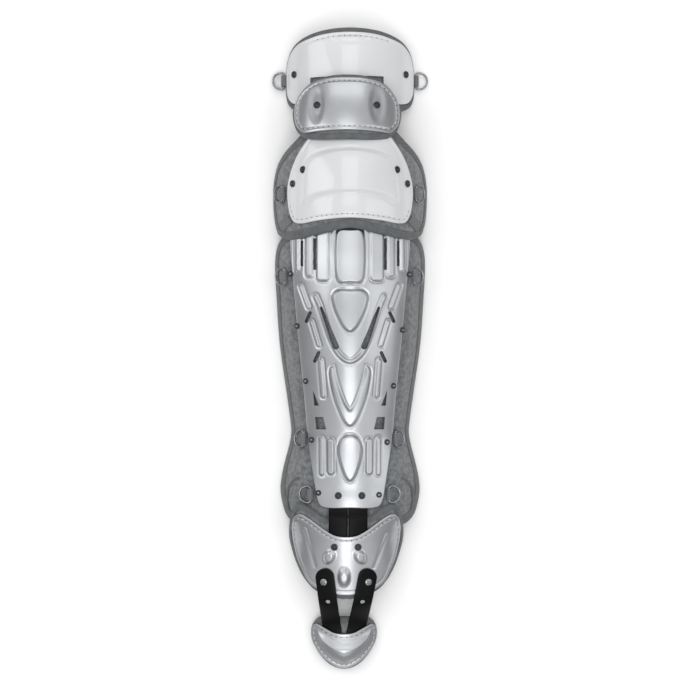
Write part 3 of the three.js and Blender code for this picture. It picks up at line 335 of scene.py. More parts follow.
def pad(name, form, plan, cover, materials, spine=None, thick=foam, rests=(), channels=(), most=1.7,
        tape_width=8.2, seat=under_shell - 0.5):
    """A bound pad: the swollen cloth body, and the tape over its rim, as one piece."""
    trim = walk(form, plan, 1.2)
    body = 0.5
    rim = [(walk(form, trim, d), -body - low * (thick - 2 * body)) for d, low in
           ((6, 0.0), (2.4, 0.04), (0.8, 0.2), (0, 0.5), (0.8, 0.8), (2.4, 0.96), (6, 1.0))]
    inner = [drawn(rim[0][0], share, spine) for share in (0, 0.15, 0.3, 0.45, 0.6, 0.72, 0.84, 0.93)]
    top = [(loop, -body + (seat + body) * ease((inside(loop, cover[::4]) + 2) / 2)) for loop in inner]
    first = [(rim[0][0], -body + (seat + body) * ease((inside(rim[0][0], cover[::4]) + 2) / 2))]
    below = [(loop, body - thick) for loop in reversed(inner)]
    piece = skin(name, form, top + first + rim[1:] + below, materials[0])
    swell(piece, plan, cover, most, tape_width)
    settle(piece, form, rests, channels)
    apply_modifier(piece, "SUBSURF", levels=1, render_levels=1)
    piece.data.shade_smooth()
    turned, half, edge = walk(form, plan, 1.6), walk(form, plan, 0.4), walk(form, plan, tape_width)
    section = [  # a loop, and its height over the form: over the front, round the rim, and back inside
        (edge, -1.6), (edge, -0.5), (walk(form, plan, tape_width - 0.8), tape_proud),
        (walk(form, plan, tape_width / 2), tape_proud), (turned, tape_proud - 0.5), (half, -0.28 * thick),
        (plan, -0.5 * thick), (half, -0.72 * thick), (turned, 0.2 - thick), (edge, 0.2 - thick),
        (edge, 1.6 - thick), (walk(form, plan, 2.4), 2.0 - thick),
        (walk(form, plan, 2.2), -0.5 * thick), (walk(form, plan, 2.4), -2.0)]
    tape = skin(name + "_tape", form, section, materials[1], closed=True, crease=50)
    settle(tape, form, rests, channels)
    return join(piece, tape)


def dress(piece, slot, *nodes):
    """Rides on the one body and stands for its solids; the slot argument is not used."""
    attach(piece, "root")
    if nodes:
        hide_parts(*nodes)
    return piece


# Brushed loop cloth: a short pile that scatters light, mottled every 5 mm or so. The real pile is finer
# than a pixel, so its tufts are drawn 2 mm wide to show.
pile_cloth, tree, shader, place = start_material("brushed loop cloth", Roughness=0.95, Sheen_Weight=0.25,
                                                 Sheen_Roughness=0.6)
mottle = add_node(tree, "ShaderNodeTexNoise", {}, {"Vector": place, "Scale": 190.0, "Detail": 3.0})
tuft = add_node(tree, "ShaderNodeTexNoise", {}, {"Vector": place, "Scale": 640.0, "Detail": 4.0,
                                                 "Roughness": 0.75})
surface_of(tree, shader, mix_patterns(tree, tuft, 0.8, mottle, 0.74, 1.06),
           ("#57595b", "#777a7c"), tuft.outputs["Fac"], 0.8, 0.0009)

# Woven binding tape: flatter and darker than the cloth, with fine ribs 2 mm apart
rib_pitch = 0.002
tape_cloth, tree, shader, place = start_material("woven binding tape", Roughness=0.8, Sheen_Weight=0.15)
ribs = add_node(tree, "ShaderNodeTexWave", {"bands_direction": "DIAGONAL"},
                {"Vector": place, "Scale": 0.314 / rib_pitch, "Distortion": 1.5, "Detail": 2.0})
worn = add_node(tree, "ShaderNodeTexNoise", {}, {"Vector": place, "Scale": 110.0, "Detail": 4.0})
surface_of(tree, shader, mix_patterns(tree, ribs, 0.3, worn, 0.35, 0.95),
           ("#4b4e50", "#626567"), ribs.outputs["Fac"], 0.5, 0.0004)
bound = (pile_cloth, tape_cloth)

shin_form = make_form(0, shin_top, shin_length, shin_width / 2, shin_height, 0.95, [
    (0.00, 0.97, 0.97, 0), (0.10, 0.99, 0.98, 0), (0.20, 0.995, 1.00, 0), (0.32, 0.965, 1.00, 0),
    (0.45, 0.905, 0.96, 0), (0.57, 0.845, 0.90, 0), (0.69, 0.785, 0.84, 0), (0.77, 0.85, 0.81, 0),
    (0.86, 0.93, 0.79, 0), (0.92, 0.91, 0.78, 0), (1.00, 0.88, 0.70, 0)])
shin_plan = outline_of(0, shin_top, shin_width, shin_length, [
    (0, 0), (0.5, 0.004), (0.8, 0.025), (0.94, 0.06), (0.99, 0.1), (1, 0.15), (0.98, 0.24),
    (0.935, 0.4), (0.85, 0.55), (0.8, 0.64), (0.784, 0.688), (0.81, 0.727), (0.89, 0.805),
    (0.928, 0.87), (0.9, 0.922), (0.845, 0.96), (0.73, 0.987), (0.5, 1), (0, 1)], 640)
plate_top, plate_length, plate_width = shin_top + 8, 379.0, 156.0
shin_plate_end = plate_top - plate_length
strap_thick, strap_half = 2.2, 12.25
under_strap = under_shell - slack
hinge_middle, hinge_across = -2.5, strap_half + 0.75
hinge_start, hinge_end = shin_plate_end + 26, -682.26
hinge_lines = [[(hinge_middle + sign * hinge_across, y) for y in (hinge_start, hinge_end)]
               for sign in (-1, 1)]
strap_room = under_strap - strap_thick - 0.4
shin_plate_plan = outline_of(0, plate_top, plate_width, plate_length, [
    (0, 0), (0.6, 0.004), (0.88, 0.015), (0.975, 0.045), (0.985, 0.09), (0.97, 0.145), (0.92, 0.26),
    (0.853, 0.41), (0.755, 0.612), (0.685, 0.77), (0.585, 0.92), (0.55, 0.965), (0.49, 0.993), (0.4, 1),
    (0, 1)], 880)
shin_pad = pad("shin_pad_cloth", shin_form, shin_plan, shin_plate_plan, bound,
               (shin_top - 0.22 * shin_length, shin_top - 0.84 * shin_length), seat=-3.4, tape_width=15.0,
               channels=[(shin_form, line, strap_half, strap_room) for line in hinge_lines])
dress(shin_pad, "pad_cloth", "shin_pad")

# Shin plate
# Moulded plastic painted a metallic silver, about 2.6 mm thick, with raised ribs and panels and with slots
# and windows cut through. Its edge is rounded. It is riveted to the pad along both sides.
relief, edge_round, sewing_inset = 2.0, 1.2, 5.2


def moulded(depth, rise, shoulder=2.8, groove=0.8):
    """Height of a raised form at a depth inside its outline, with a groove round its foot."""
    return rise * ease(depth / shoulder + 0.5) - groove * np.exp(-((depth + shoulder / 2 + 0.7) / 1.2) ** 2)


def soften(corners, count=90, rounds=5, closed=True):
    """A line through corners with its corners rounded off."""
    line = resample(np.array(corners), count, closed)
    for _ in range(rounds):
        near = np.roll(line, 1, axis=0) + np.roll(line, -1, axis=0)
        if not closed:
            near[0], near[-1] = 2 * line[0], 2 * line[-1]
        line = 0.5 * line + 0.25 * near
    return line


def plate(name, form, plan, relief_at, material, spine=None, rings=44, low=-press, groove=0.0, bulge=None):
    """A moulded plate. relief_at gives what stands proud of it, and groove sinks its sewing line."""
    steps = (0, 0.12, 0.4, 0.8, 1.3, 2.0, 2.8, 3.6, 4.4, 5.2, 6.0, 6.8, 7.8)
    loops = []
    for d in steps:
        loop = walk(form, plan, d) if d else plan
        drop = edge_round - math.sqrt(max(0, edge_round ** 2 - max(0, edge_round - d) ** 2))
        sunk = groove * math.exp(-((d - sewing_inset) / 1.1) ** 2)
        loops.append((loop, shell_top - drop - sunk + relief_at(loop) * ease((d - 1) / 3)))
    core = loops[-1][0]
    for k in range(rings):
        loop = drawn(core, 1 - (k + 1) / rings, spine)
        loops.append((loop, shell_top + relief_at(loop)))
    under = []
    for share in (0, 0.15, 0.35, 0.55, 0.75, 0.9):
        loop = drawn(core, share, spine)
        under.append((loop, low + (0.6 * bulge(loop) if bulge else 0)))
    under += [(walk(form, plan, d), low) for d in (3.0, 0.6)] + [(plan, low + 0.5)]
    return skin(name, form, loops[::-1] + under[::-1], material, crease=50)


def cutter(form, corners, low=-4.0, high=7.0):
    """A prism that cuts a hole of this plan through a plate."""
    corners = np.asarray(corners, dtype=float)
    middle = np.tile(corners.mean(axis=0), (len(corners), 1))
    steps = np.linspace(low, high, 4)
    loops = [(middle, low)] + [(corners, t) for t in steps] + [(middle, high)]
    return skin("cutter", form, loops, None)


def pierce(piece, cutters, crease=50):
    """Cuts the prisms out of a piece."""
    tool = join(*cutters)
    apply_modifier(piece, "BOOLEAN", operation="DIFFERENCE", solver="EXACT", object=tool)
    bpy.data.objects.remove(tool)
    piece.data.shade_smooth()
    piece.data.set_sharp_from_angle(angle=math.radians(crease))


def both(rows):
    """The same corners on the right and on the left."""
    return [np.array(rows), np.array([(-x, y) for x, y in rows])[::-1]]


def whole(rows):
    """Half a shape's corners, completed over the centre line."""
    return np.array(list(rows) + [(-x, y) for x, y in reversed(rows) if x])


def on_shin(rows):
    """Places on the shin plate, from shares of its half width and length."""
    return [(a * plate_width / 2, plate_top - b * plate_length) for a, b in rows]


# Silver paint: metallic flakes too fine to see, which give a soft sheen under a clear glossy coat
silver_paint, tree, shader, place = start_material(
    "metallic silver paint", Metallic=0.9, Roughness=0.29, Coat_Weight=0.4, Coat_Roughness=0.08)
flake = add_node(tree, "ShaderNodeTexNoise", {}, {"Vector": place, "Scale": 900.0, "Detail": 2.0})
cloudy = add_node(tree, "ShaderNodeTexNoise", {}, {"Vector": place, "Scale": 14.0, "Detail": 2.0})
surface_of(tree, shader, mix_patterns(tree, flake, 0.5, cloudy, 0.45, 1.05),
           ("#9c9ea1", "#b4b6b9"), flake.outputs["Fac"], 0.05, 0.0002)

rib_rows = [  # inner and outer share of the half width, from and to along the plate
    (0.342, 0.533, 0.05, 0.225), (0.612, 0.717, 0.05, 0.21), (0.828, 0.908, 0.06, 0.19)]
slot_rows = [(0.55, 0.598, 0.079, 0.187), (0.762, 0.81, 0.086, 0.174)]
bar_rows = [  # a raised bar's two ends in shares, and its width
    ((0.803, 0.2414), (0.677, 0.3125), 2.8), ((0.623, 0.364), (0.507, 0.443), 2.8),
    ((0.475, 0.498), (0.433, 0.615), 4.6), ((0.46, 0.765), (0.46, 0.882), 4.8),
    ((0.31, 0.773), (0.31, 0.875), 7.6)]
cut_rows = [  # a slanted slot's ends, and its width at each
    ((0.463, 0.316), (0.23, 0.4475), 2.8, 8), ((0.645, 0.3335), (0.708, 0.362), 4.5, 4.5),
    ((0.507, 0.4694), (0.57, 0.4976), 4.5, 4.5)]
centre_panel = [(0, 0.05), (0.165, 0.05), (0.205, 0.062), (0.205, 0.215), (0.165, 0.229), (0, 0.229)]
shield = [(0, 0.259), (0.2, 0.26), (0.27, 0.275), (0.25, 0.312), (0.185, 0.347), (0.085, 0.384), (0, 0.396)]
vee_ridge, vee_width = [(0.56, 0.278), (0.5, 0.305), (0.415, 0.362), (0.31, 0.43), (0.19, 0.478),
                        (0, 0.508)], 3.4
chevron = [(0, 0.518), (0.28, 0.518), (0.312, 0.53), (0.27, 0.6), (0.18, 0.66), (0.075, 0.706), (0, 0.718)]
chevron_hollow = [(0, 0.48), (0.27, 0.48), (0.262, 0.53), (0.175, 0.6), (0.07, 0.652), (0, 0.668)]
teardrop = [(0, 0.7525), (0.09, 0.757), (0.155, 0.775), (0.18, 0.8), (0.165, 0.83), (0.12, 0.865),
            (0.06, 0.895), (0, 0.906)]
window_rows = [[(0.6, 0.598), (0.58, 0.65), (0.5, 0.65)],
               [(0.566, 0.689), (0.435, 0.689), (0.385, 0.7315), (0.55, 0.7315)]]


def corners_of(inner, outer, start, end):
    """The corners of an upright box."""
    return [(inner, start), (outer, start), (outer, end), (inner, end)]


def shin_outline(rows):
    """A rounded outline on the shin plate."""
    return outline_of(0, plate_top, plate_width, plate_length, rows, 100)


def whole_line(rows):
    """Half an open line, completed over the centre line."""
    return np.array(list(rows) + [(-x, y) for x, y in reversed(rows[:-1])])


def shin_relief(plan):
    """What stands proud of the shin plate at places in the plan."""
    proud = np.zeros(len(plan))

    def raise_to(depth, rise=relief, **kind):
        new = moulded(depth, rise, **kind)
        proud[:] = np.where(new > 0, np.maximum(proud, new), proud + new)
    for row in rib_rows:
        for corners in both(on_shin(corners_of(*row))):
            raise_to(inside(plan, soften(corners)), shoulder=2.4)
    for rows, rise in ((centre_panel, 1.5 * relief), (shield, 1.3 * relief), (teardrop, 1.3 * relief)):
        raise_to(inside(plan, shin_outline(rows)), rise, shoulder=4.0, groove=1.0)
    for start, end, width in bar_rows:
        for line in both(on_shin([start, end])):
            raise_to(width / 2 - from_line(plan, line)[0], shoulder=2.4)
    ridge = soften(whole_line(on_shin(vee_ridge)), 80, 14, closed=False)
    raise_to(vee_width / 2 - from_line(plan, ridge)[0], 0.8 * relief)
    between = np.minimum(inside(plan, shin_outline(chevron)), -inside(plan, shin_outline(chevron_hollow)))
    raise_to(between, 1.2 * relief, shoulder=3.6)
    return proud


def tapered(start, end, width, end_width):
    """A slanted slot's outline, round at both ends."""
    (x0, y0), (x1, y1) = on_shin([start, end])
    ahead = math.atan2(y1 - y0, x1 - x0)
    quarter = math.pi / 2
    far = [(x1 + end_width / 2 * math.cos(a), y1 + end_width / 2 * math.sin(a))
           for a in np.linspace(ahead - quarter, ahead + quarter, 9)]
    return far + [(x0 + width / 2 * math.cos(a), y0 + width / 2 * math.sin(a))
                  for a in np.linspace(ahead + quarter, ahead + 3 * quarter, 9)]


shin_plate = plate("shin_plate", shin_form, shin_plate_plan, shin_relief, silver_paint,
                   (plate_top - 0.2 * plate_length, plate_top - 0.86 * plate_length), rings=68)
holes = [on_shin(corners_of(*row)) for row in slot_rows] + [on_shin(rows) for rows in window_rows]
holes += [tapered(*row) for row in cut_rows]
pierce(shin_plate, [cutter(shin_form, corners) for rows in holes for corners in both(rows)])
dress(shin_plate, "silver_plate", "shin_shell")

# Knee pad
# The same bound cloth, wider than its plate so that wings wrap round the knee. Small patches of plain
# webbing are sewn over the ends of its tape at the lower corners.
knee_top, knee_length, knee_width, knee_height = -127.0, 150.0, 204.0, 89.5
knee_form = make_form(0, knee_top, knee_length, knee_width / 2, knee_height, 0.95, [
    (0.00, 1, 0.80, 0), (0.15, 1, 0.89, -0.01), (0.35, 1, 0.96, -0.031), (0.60, 1, 1.00, -0.031),
    (1.00, 1, 0.99, 0)])
knee_plan = outline_of(0, knee_top, knee_width, knee_length, [
    (0, 0), (0.5, 0.02), (0.71, 0.143), (0.855, 0.246), (0.943, 0.35), (0.993, 0.5), (1, 0.63),
    (0.968, 0.864), (0.91, 0.966), (0.81, 1), (0.6, 0.985), (0.3, 0.945), (0, 0.912)])
knee_plate_top, knee_plate_length, knee_plate_width = knee_top - 4, 126.0, 161.0
knee_plate_plan = outline_of(0, knee_plate_top, knee_plate_width, knee_plate_length, [
    (0, 0), (0.42, 0.02), (0.62, 0.1), (0.72, 0.18), (0.83, 0.29), (0.92, 0.42), (0.98, 0.56),
    (1, 0.68), (0.985, 0.8), (0.95, 0.91), (0.88, 0.985), (0.78, 1), (0.5, 0.975), (0, 0.95)], 560)
knee_pad = pad("knee_pad_cloth", knee_form, knee_plan, knee_plate_plan, bound, tape_width=11.5,
               rests=[(shin_form, shin_plan, 0.6), (shin_form, shin_plate_plan, shell_top + relief + 0.4)])
dress(knee_pad, "pad_cloth", "knee_pad")

# Webbing: plain-woven grey polyester. The real threads are about 0.8 mm, and are drawn 2 mm apart to show.
thread_pitch = 0.002
webbing_cloth, tree, shader, place = start_material("woven grey webbing", Roughness=0.75, Sheen_Weight=0.1)
across = add_node(tree, "ShaderNodeTexWave", {"bands_direction": "X"},
                  {"Vector": place, "Scale": 0.314 / thread_pitch, "Distortion": 0.6})
down = add_node(tree, "ShaderNodeTexWave", {"bands_direction": "Y"},
                {"Vector": place, "Scale": 0.314 / thread_pitch, "Distortion": 0.6})
weave = add_node(tree, "ShaderNodeMath", {"operation": "MULTIPLY"},
                 {0: across.outputs["Fac"], 1: down.outputs["Fac"]})
weave = weave.outputs["Value"]
surface_of(tree, shader, weave, ("#57595b", "#84878a"), weave, 0.6, 0.0004)

patch_rows = [(0.917, 0.856), (0.787, 0.789), (0.735, 0.853), (0.84, 0.929)]
for side, sign in (("left", -1), ("right", 1)):
    corners = [(sign * a * knee_width / 2, knee_top - b * knee_length) for a, b in patch_rows]
    sewn = resample(np.array(corners), 96)
    middle = sewn.mean(axis=0)
    loops = [(middle + (sewn - middle) * share, t) for share, t in
             ((0, 0.5), (0.6, 0.5), (0.97, 0.5), (1, 0.8), (1, 1.4), (0.96, 1.8), (0.88, 1.9), (0.8, 1.6),
              (0.74, 1.8), (0.4, 1.9), (0, 1.9))]
    patch = skin(f"knee_patch_cloth_{side}", knee_form, loops, webbing_cloth)
    dress(patch, "webbing", f"knee_patch_{side}")

# Knee plate
# Moulded plastic painted pearl white under a clear coat, with a softly raised panel between two arches.
# White thread sews its lower edge to the pad.

# Pearl paint: near-white with a fine mica sheen and a hard gloss, the mica drawn 1 mm wide to show
pearl_paint, tree, shader, place = start_material(
    "pearl white paint", Metallic=0.0, Roughness=0.25, Coat_Weight=0.8, Coat_Roughness=0.05)
mica = add_node(tree, "ShaderNodeTexNoise", {}, {"Vector": place, "Scale": 950.0, "Detail": 2.0})
cloudy = add_node(tree, "ShaderNodeTexNoise", {}, {"Vector": place, "Scale": 12.0, "Detail": 2.0})
surface_of(tree, shader, mix_patterns(tree, mica, 0.4, cloudy, 0.4, 1.0),
           ("#c6c7c9", "#d2d3d5"), mica.outputs["Fac"], 0.05, 0.0002)

knee_panel = [(0, 0.257), (0.33, 0.275), (0.62, 0.33), (0.71, 0.45), (0.73, 0.6), (0.75, 0.82), (0.62, 0.73),
              (0.3, 0.685), (0, 0.67)]


def on_knee(rows):
    """Places on the knee plate, from shares of its half width and length."""
    return [(a * knee_plate_width / 2, knee_plate_top - b * knee_plate_length) for a, b in rows]


panel_plan = soften(whole(on_knee(knee_panel)), 120, 8)


def knee_relief(plan):
    """The softly raised panel."""
    return moulded(inside(plan, panel_plan), 1.3 * relief, shoulder=7.0, groove=0.4)


knee_plate = plate("knee_plate", knee_form, knee_plate_plan, knee_relief, pearl_paint, rings=52, groove=0.5)
dress(knee_plate, "pearl_plate", "knee_shell")

# Sewing thread: white bonded nylon, a little shiny and about 0.75 mm thick
thread_nylon, tree, shader, place = start_material("white sewing thread", Roughness=0.5)
twist = add_node(tree, "ShaderNodeTexNoise", {}, {"Vector": place, "Scale": 800.0, "Detail": 2.0})
surface_of(tree, shader, twist.outputs["Fac"], ("#aeb0b2", "#dcdee0"))
stitch_long, stitch_pitch, stitch_thick, hole_wide = 4.8, 7.0, 0.75, 0.75
# The shade inside the needle's holes, between one stitch and the next
hole_shade, tree, shader, place = start_material("shaded needle hole", Roughness=0.9)
depth = add_node(tree, "ShaderNodeTexNoise", {}, {"Vector": place, "Scale": 400.0})
surface_of(tree, shader, depth.outputs["Fac"], ("#1d1f20", "#4a4d4f"))


def sew(name, form, line, t, closed=False):
    """A row of stitches along a line in the plan, each a short spindle that dips at both ends."""
    long = np.linalg.norm(np.diff(lift(form, line, t), axis=0), axis=1).sum()
    count = max(4, round(long / stitch_pitch))
    flat = resample(line, count, closed)
    spots = lift(form, flat, t)
    ahead = np.roll(spots, -1, axis=0) - np.roll(spots, 1, axis=0)
    if not closed:
        ahead[0], ahead[-1] = spots[1] - spots[0], spots[-1] - spots[-2]
    ahead /= np.linalg.norm(ahead, axis=1, keepdims=True)
    up = normals_on(form, flat)
    side = np.cross(ahead, up)
    waist = [(a, b, c) for a in (-0.3, 0.3) for b, c in ((1, 0), (0, 1), (-1, 0), (0, -1))]
    shape = [(-0.5, 0, -0.5), *waist, (0.5, 0, -0.5)]
    ends = [(0, 2, 1), (0, 3, 2), (0, 4, 3), (0, 1, 4), (9, 5, 6), (9, 6, 7), (9, 7, 8), (9, 8, 5)]
    faces = ends + [(1, 2, 6, 5), (2, 3, 7, 6), (3, 4, 8, 7), (4, 1, 5, 8)]
    points = [spots + ahead * a * stitch_long + side * b * stitch_thick / 2 + up * c * stitch_thick / 2
              for a, b, c in shape]
    linked = [tuple(k * count + i for k in face) for face in faces for i in range(count)]
    piece = make_object(name, np.concatenate(points), linked, thread_nylon, crease=80)
    gaps = spots + ahead * stitch_pitch / 2
    angles = np.linspace(0, 2 * math.pi, 6, endpoint=False)
    rims = [gaps + hole_wide * (math.cos(a) * ahead + math.sin(a) * side) + 0.05 * up for a in angles]
    rings = [gaps + 0.12 * up, *rims, gaps - 0.6 * up]
    fans = [(0, 1 + k, 1 + (k + 1) % 6) for k in range(6)]
    fans += [(7, 1 + (k + 1) % 6, 1 + k) for k in range(6)]
    linked = [tuple(k * count + i for k in fan) for fan in fans for i in range(count)]
    holes = make_object("needle_holes", np.concatenate(rings), linked, hole_shade)
    return dress(join(piece, holes), "pad_cloth")


def part_of(plan, keep):
    """The stretch of a closed line whose points are kept, in order."""
    kept = keep(plan)
    start = int(np.argmax(kept & ~np.roll(kept, 1)))
    turned, kept = np.roll(plan, -start, axis=0), np.roll(kept, -start)
    return turned[:int(np.argmin(kept)) or len(kept)]


sewn_line = walk(knee_form, knee_plate_plan, sewing_inset)
lower = part_of(sewn_line, lambda p: p[:, 1] < knee_plate_top - 0.84 * knee_plate_length)
sew("knee_stitches", knee_form, lower, shell_top - 0.3)

# Thigh pad and plate
# The top of the guard: a bound pad and a pearl-white plate with a slot, out of which an elastic web runs
# down to the knee. White thread sews the plate's top edge.
thigh_top, thigh_length, thigh_width, thigh_height = 0.0, 107.0, 170.0, 54.0
thigh_form = make_form(0, thigh_top, thigh_length, thigh_width / 2 + 2, thigh_height, 0.86, [
    (0.0, 1, 0.90, -0.055), (0.5, 1, 0.97, -0.055), (1.0, 1, 1.00, -0.055)])
thigh_plan = outline_of(0, thigh_top, thigh_width, thigh_length, [
    (0, 0), (0.36, 0.02), (0.63, 0.07), (0.82, 0.15), (0.93, 0.26), (0.985, 0.4), (1, 0.55), (1, 0.8),
    (0.96, 0.92), (0.86, 1), (0.5, 1), (0, 1)])
thigh_plate_top, thigh_plate_length, thigh_plate_width = thigh_top - 7, 92.0, 165.0
thigh_plate_plan = outline_of(0, thigh_plate_top, thigh_plate_width, thigh_plate_length, [
    (0, 0), (0.37, 0.02), (0.63, 0.075), (0.83, 0.155), (0.94, 0.28), (0.99, 0.46), (1, 0.68),
    (0.98, 0.86), (0.91, 0.97), (0.8, 1), (0.4, 1), (0, 1)], 520)
thigh_pad = pad("thigh_pad_cloth", thigh_form, thigh_plan, thigh_plate_plan, bound)
dress(thigh_pad, "pad_cloth", "thigh_pad")

crest = [(0, -0.02), (0.16, -0.02), (0.3, -0.075), (0.16, -0.13), (0, -0.145)]
crest_plan = resample(whole([(a * thigh_plate_width / 2, thigh_plate_top - 2 + b * thigh_plate_length)
                             for a, b in crest]), 60)


def thigh_relief(plan):
    """A lens pressed into the plate near its top edge."""
    return -moulded(inside(plan, crest_plan), 1.2, shoulder=4.0, groove=0)


thigh_plate = plate("thigh_plate", thigh_form, thigh_plate_plan, thigh_relief, pearl_paint, rings=40,
                    groove=0.4)
web_middle, web_half, slot_top, slot_end = -4.0, 45.0, -64.2, -73.2
slot_half = web_half + 2
slot = [(web_middle + slot_half, slot_top - 0.2), (web_middle + slot_half, slot_end - 1),
        (web_middle - slot_half, slot_end - 1), (web_middle - slot_half, slot_top - 1.2)]
pierce(thigh_plate, [cutter(thigh_form, resample(np.array(slot), 64))])
dress(thigh_plate, "pearl_plate", "thigh_shell")
sewn_line, sewn_half = walk(thigh_form, thigh_plate_plan, sewing_inset), 52
upper = part_of(sewn_line, lambda p: (p[:, 1] > thigh_plate_top - 10) & (np.abs(p[:, 0]) < sewn_half))
sew("thigh_stitches", thigh_form, upper, shell_top - 0.2)

# Elastic web
# A wide grey elastic band between thigh and knee. It is sewn under the thigh plate, comes out through the
# slot and goes under the knee plate, and the cap covers its middle. A plain link hangs the knee on the shin.
webbing = 1.8
over_shell = shell_top + clearance + slack
web_turn = -106.5


def raised(form, t):
    """A form raised or lowered by t, measured square to it."""
    def surface(x, y):
        flat = np.stack(np.broadcast_arrays(x, y), axis=-1).astype(float)
        return form(x, y) + t / normals_on(form, flat)[..., 2]
    return surface


def blend(first, second, start, end):
    """The first form above the line at start, the second below the line at end."""
    def surface(x, y):
        f = ease((start - y) / (start - end))
        return first(x, y) * (1 - f) + second(x, y) * f
    return surface


def ribbon(name, form, line, halves, low, high, material, columns=13, crease=38):
    """A flat strap along a line in the plan, with softened edges and a half width at each step."""
    line = np.asarray(line, dtype=float)
    ahead = np.gradient(line, axis=0)
    ahead /= np.linalg.norm(ahead, axis=1, keepdims=True)
    side = np.stack([ahead[:, 1], -ahead[:, 0]], axis=1)
    shares = np.sin(np.linspace(-1, 1, columns) * math.pi / 2)
    soft = 0.3 * (high - low)
    dip = soft * np.clip((np.abs(shares) - 0.93) / 0.07, 0, 1)
    rows = [(s, high - d) for s, d in zip(shares, dip)] + [(s, low + d) for s, d in zip(shares[::-1], dip)]
    points = np.stack([lift(form, line + side * (np.asarray(halves) * s)[:, None], t) for s, t in rows],
                      axis=1)
    ring, count = len(rows), len(line)
    faces = net(count, ring)
    for k in range(columns - 1):
        quad = (k, k + 1, ring - 2 - k, ring - 1 - k)
        faces += [quad, tuple((count - 1) * ring + n for n in quad)]
    return make_object(name, points.reshape(-1, 3), faces, material, crease=crease)


web_out = blend(raised(thigh_form, under_strap), raised(thigh_form, over_shell + webbing),
                slot_top, slot_end)
web_form = blend(web_out, raised(knee_form, under_strap), web_turn, knee_top + 3)
web_line = np.stack([np.full(90, web_middle), np.linspace(slot_top + 10, knee_top - 18, 90)], axis=1)
web = ribbon("thigh_web_band", web_form, web_line, np.full(90, web_half), -webbing, 0, webbing_cloth, 31)
dress(web, "webbing", "thigh_web")

link_half, link_from, link_to = 30.0, shin_top + 30, shin_top - 8
link_form = raised(knee_form, -foam - clearance - slack)
link_line = np.stack([np.zeros(30), np.linspace(link_from, link_to, 30)], axis=1)
link = ribbon("shin_link_band", link_form, link_line, np.full(30, link_half), -webbing, 0, webbing_cloth)
dress(link, "webbing", "shin_link")

# Cap over the knee joint
# A small bound pad with a silver plate, over the lower edge of the thigh plate and the top of the knee
# plate. Two long dimples hold its rivets, and white thread sews it all round.
cap_middle, cap_top, cap_length, cap_width, cap_height, cap_foam = -4.0, -63.0, 87.0, 143.0, 89.0, 8.0
cap_form = make_form(cap_middle, cap_top, cap_length, cap_width / 2 + 2, cap_height, 0.9, [
    (0.00, 1, 0.74, 0.36), (0.25, 1, 0.85, 0.42), (0.50, 1, 0.935, 0.48), (0.75, 1, 0.985, 0.52),
    (1.00, 1, 1.00, 0.54)])
cap_plan = outline_of(cap_middle, cap_top, cap_width, cap_length, [
    (0, 0), (0.3, 0.015), (0.58, 0.085), (0.78, 0.2), (0.91, 0.35), (0.985, 0.5), (1, 0.6),
    (0.975, 0.735), (0.91, 0.875), (0.8, 0.96), (0.5, 1), (0, 1)])
cap_plate_top, cap_plate_length, cap_plate_width = cap_top - 5.6, 73.0, 134.0
cap_plate_plan = outline_of(cap_middle, cap_plate_top, cap_plate_width, cap_plate_length, [
    (0, 0), (0.37, 0.02), (0.65, 0.09), (0.87, 0.25), (0.975, 0.43), (1, 0.62), (0.98, 0.81), (0.9, 0.93),
    (0.82, 0.985), (0.5, 0.97), (0, 0.95)], 480)
cap_pad = pad("cap_pad_cloth", cap_form, cap_plan, cap_plate_plan, bound, thick=cap_foam, most=1.0,
              rests=[(knee_form, knee_plate_plan, shell_top + 0.6), (knee_form, knee_plan, 0.6),
                     (thigh_form, thigh_plate_plan, shell_top + 0.6)])
dress(cap_pad, "pad_cloth", "cap_pad")

cap_rivet_across, cap_rivet_y = 0.576 * cap_plate_width / 2, cap_top - 0.48 * cap_length
dimple_wide, dimple_long, dimple_deep = 12.0, 29.0, 2.2


def cap_relief(plan):
    """Two long dimples round the rivets."""
    proud = np.zeros(len(plan))
    for sign in (-1, 1):
        x = (plan[:, 0] - cap_middle - sign * cap_rivet_across) / dimple_wide
        y = (plan[:, 1] - cap_rivet_y) / dimple_long
        proud -= dimple_deep * ease((1 - np.hypot(x, y)) / 0.6)
    return proud


cap_plate = plate("cap_plate", cap_form, cap_plate_plan, cap_relief, silver_paint, rings=40, groove=0.6)
dress(cap_plate, "silver_plate", "cap_shell")
sew("cap_stitches", cap_form, walk(cap_form, cap_plate_plan, sewing_inset), shell_top - 0.4, closed=True)

# Ankle seams
# A line of narrow tape, sewn in an arc over each ankle bone on the shin pad's lower wings. It joins the
# plain cloth at the ankle to the brushed cloth above it.
ankle_arc = [(66, -587), (74, -591), (81, -602), (83, -617), (80, -630)]
for side, sign in (("left", -1), ("right", 1)):
    arc = soften([(sign * x, y) for x, y in ankle_arc], 40, 10, closed=False)
    seam = ribbon(f"ankle_seam_{side}", shin_form, arc, np.full(40, 1.3), -0.4, 1.7, tape_cloth, 7)
    dress(seam, "pad_cloth")

# Hinge straps
# Two black vinyl straps that let the foot plates swing on the shin. Each lies on the pads, under the shin
# plate's lower end and the instep plate, and is riveted at both.
instep_middle, instep_top, instep_length, instep_width, instep_height = -5.0, -620.0, 125.5, 152.0, 60.0
instep_form = make_form(instep_middle, instep_top, instep_length, instep_width / 2 + 2, instep_height, 0.9, [
    (0.00, 1, 1.04, 0.54), (0.15, 1, 1.01, 0.50), (0.28, 1, 0.97, 0.24), (0.42, 1, 0.93, 0.02),
    (0.70, 1, 0.84, 0.00), (1.00, 1, 0.74, 0.00)])
instep_plate_top, instep_plate_length, instep_plate_width = -633.5, 106.0, 140.0

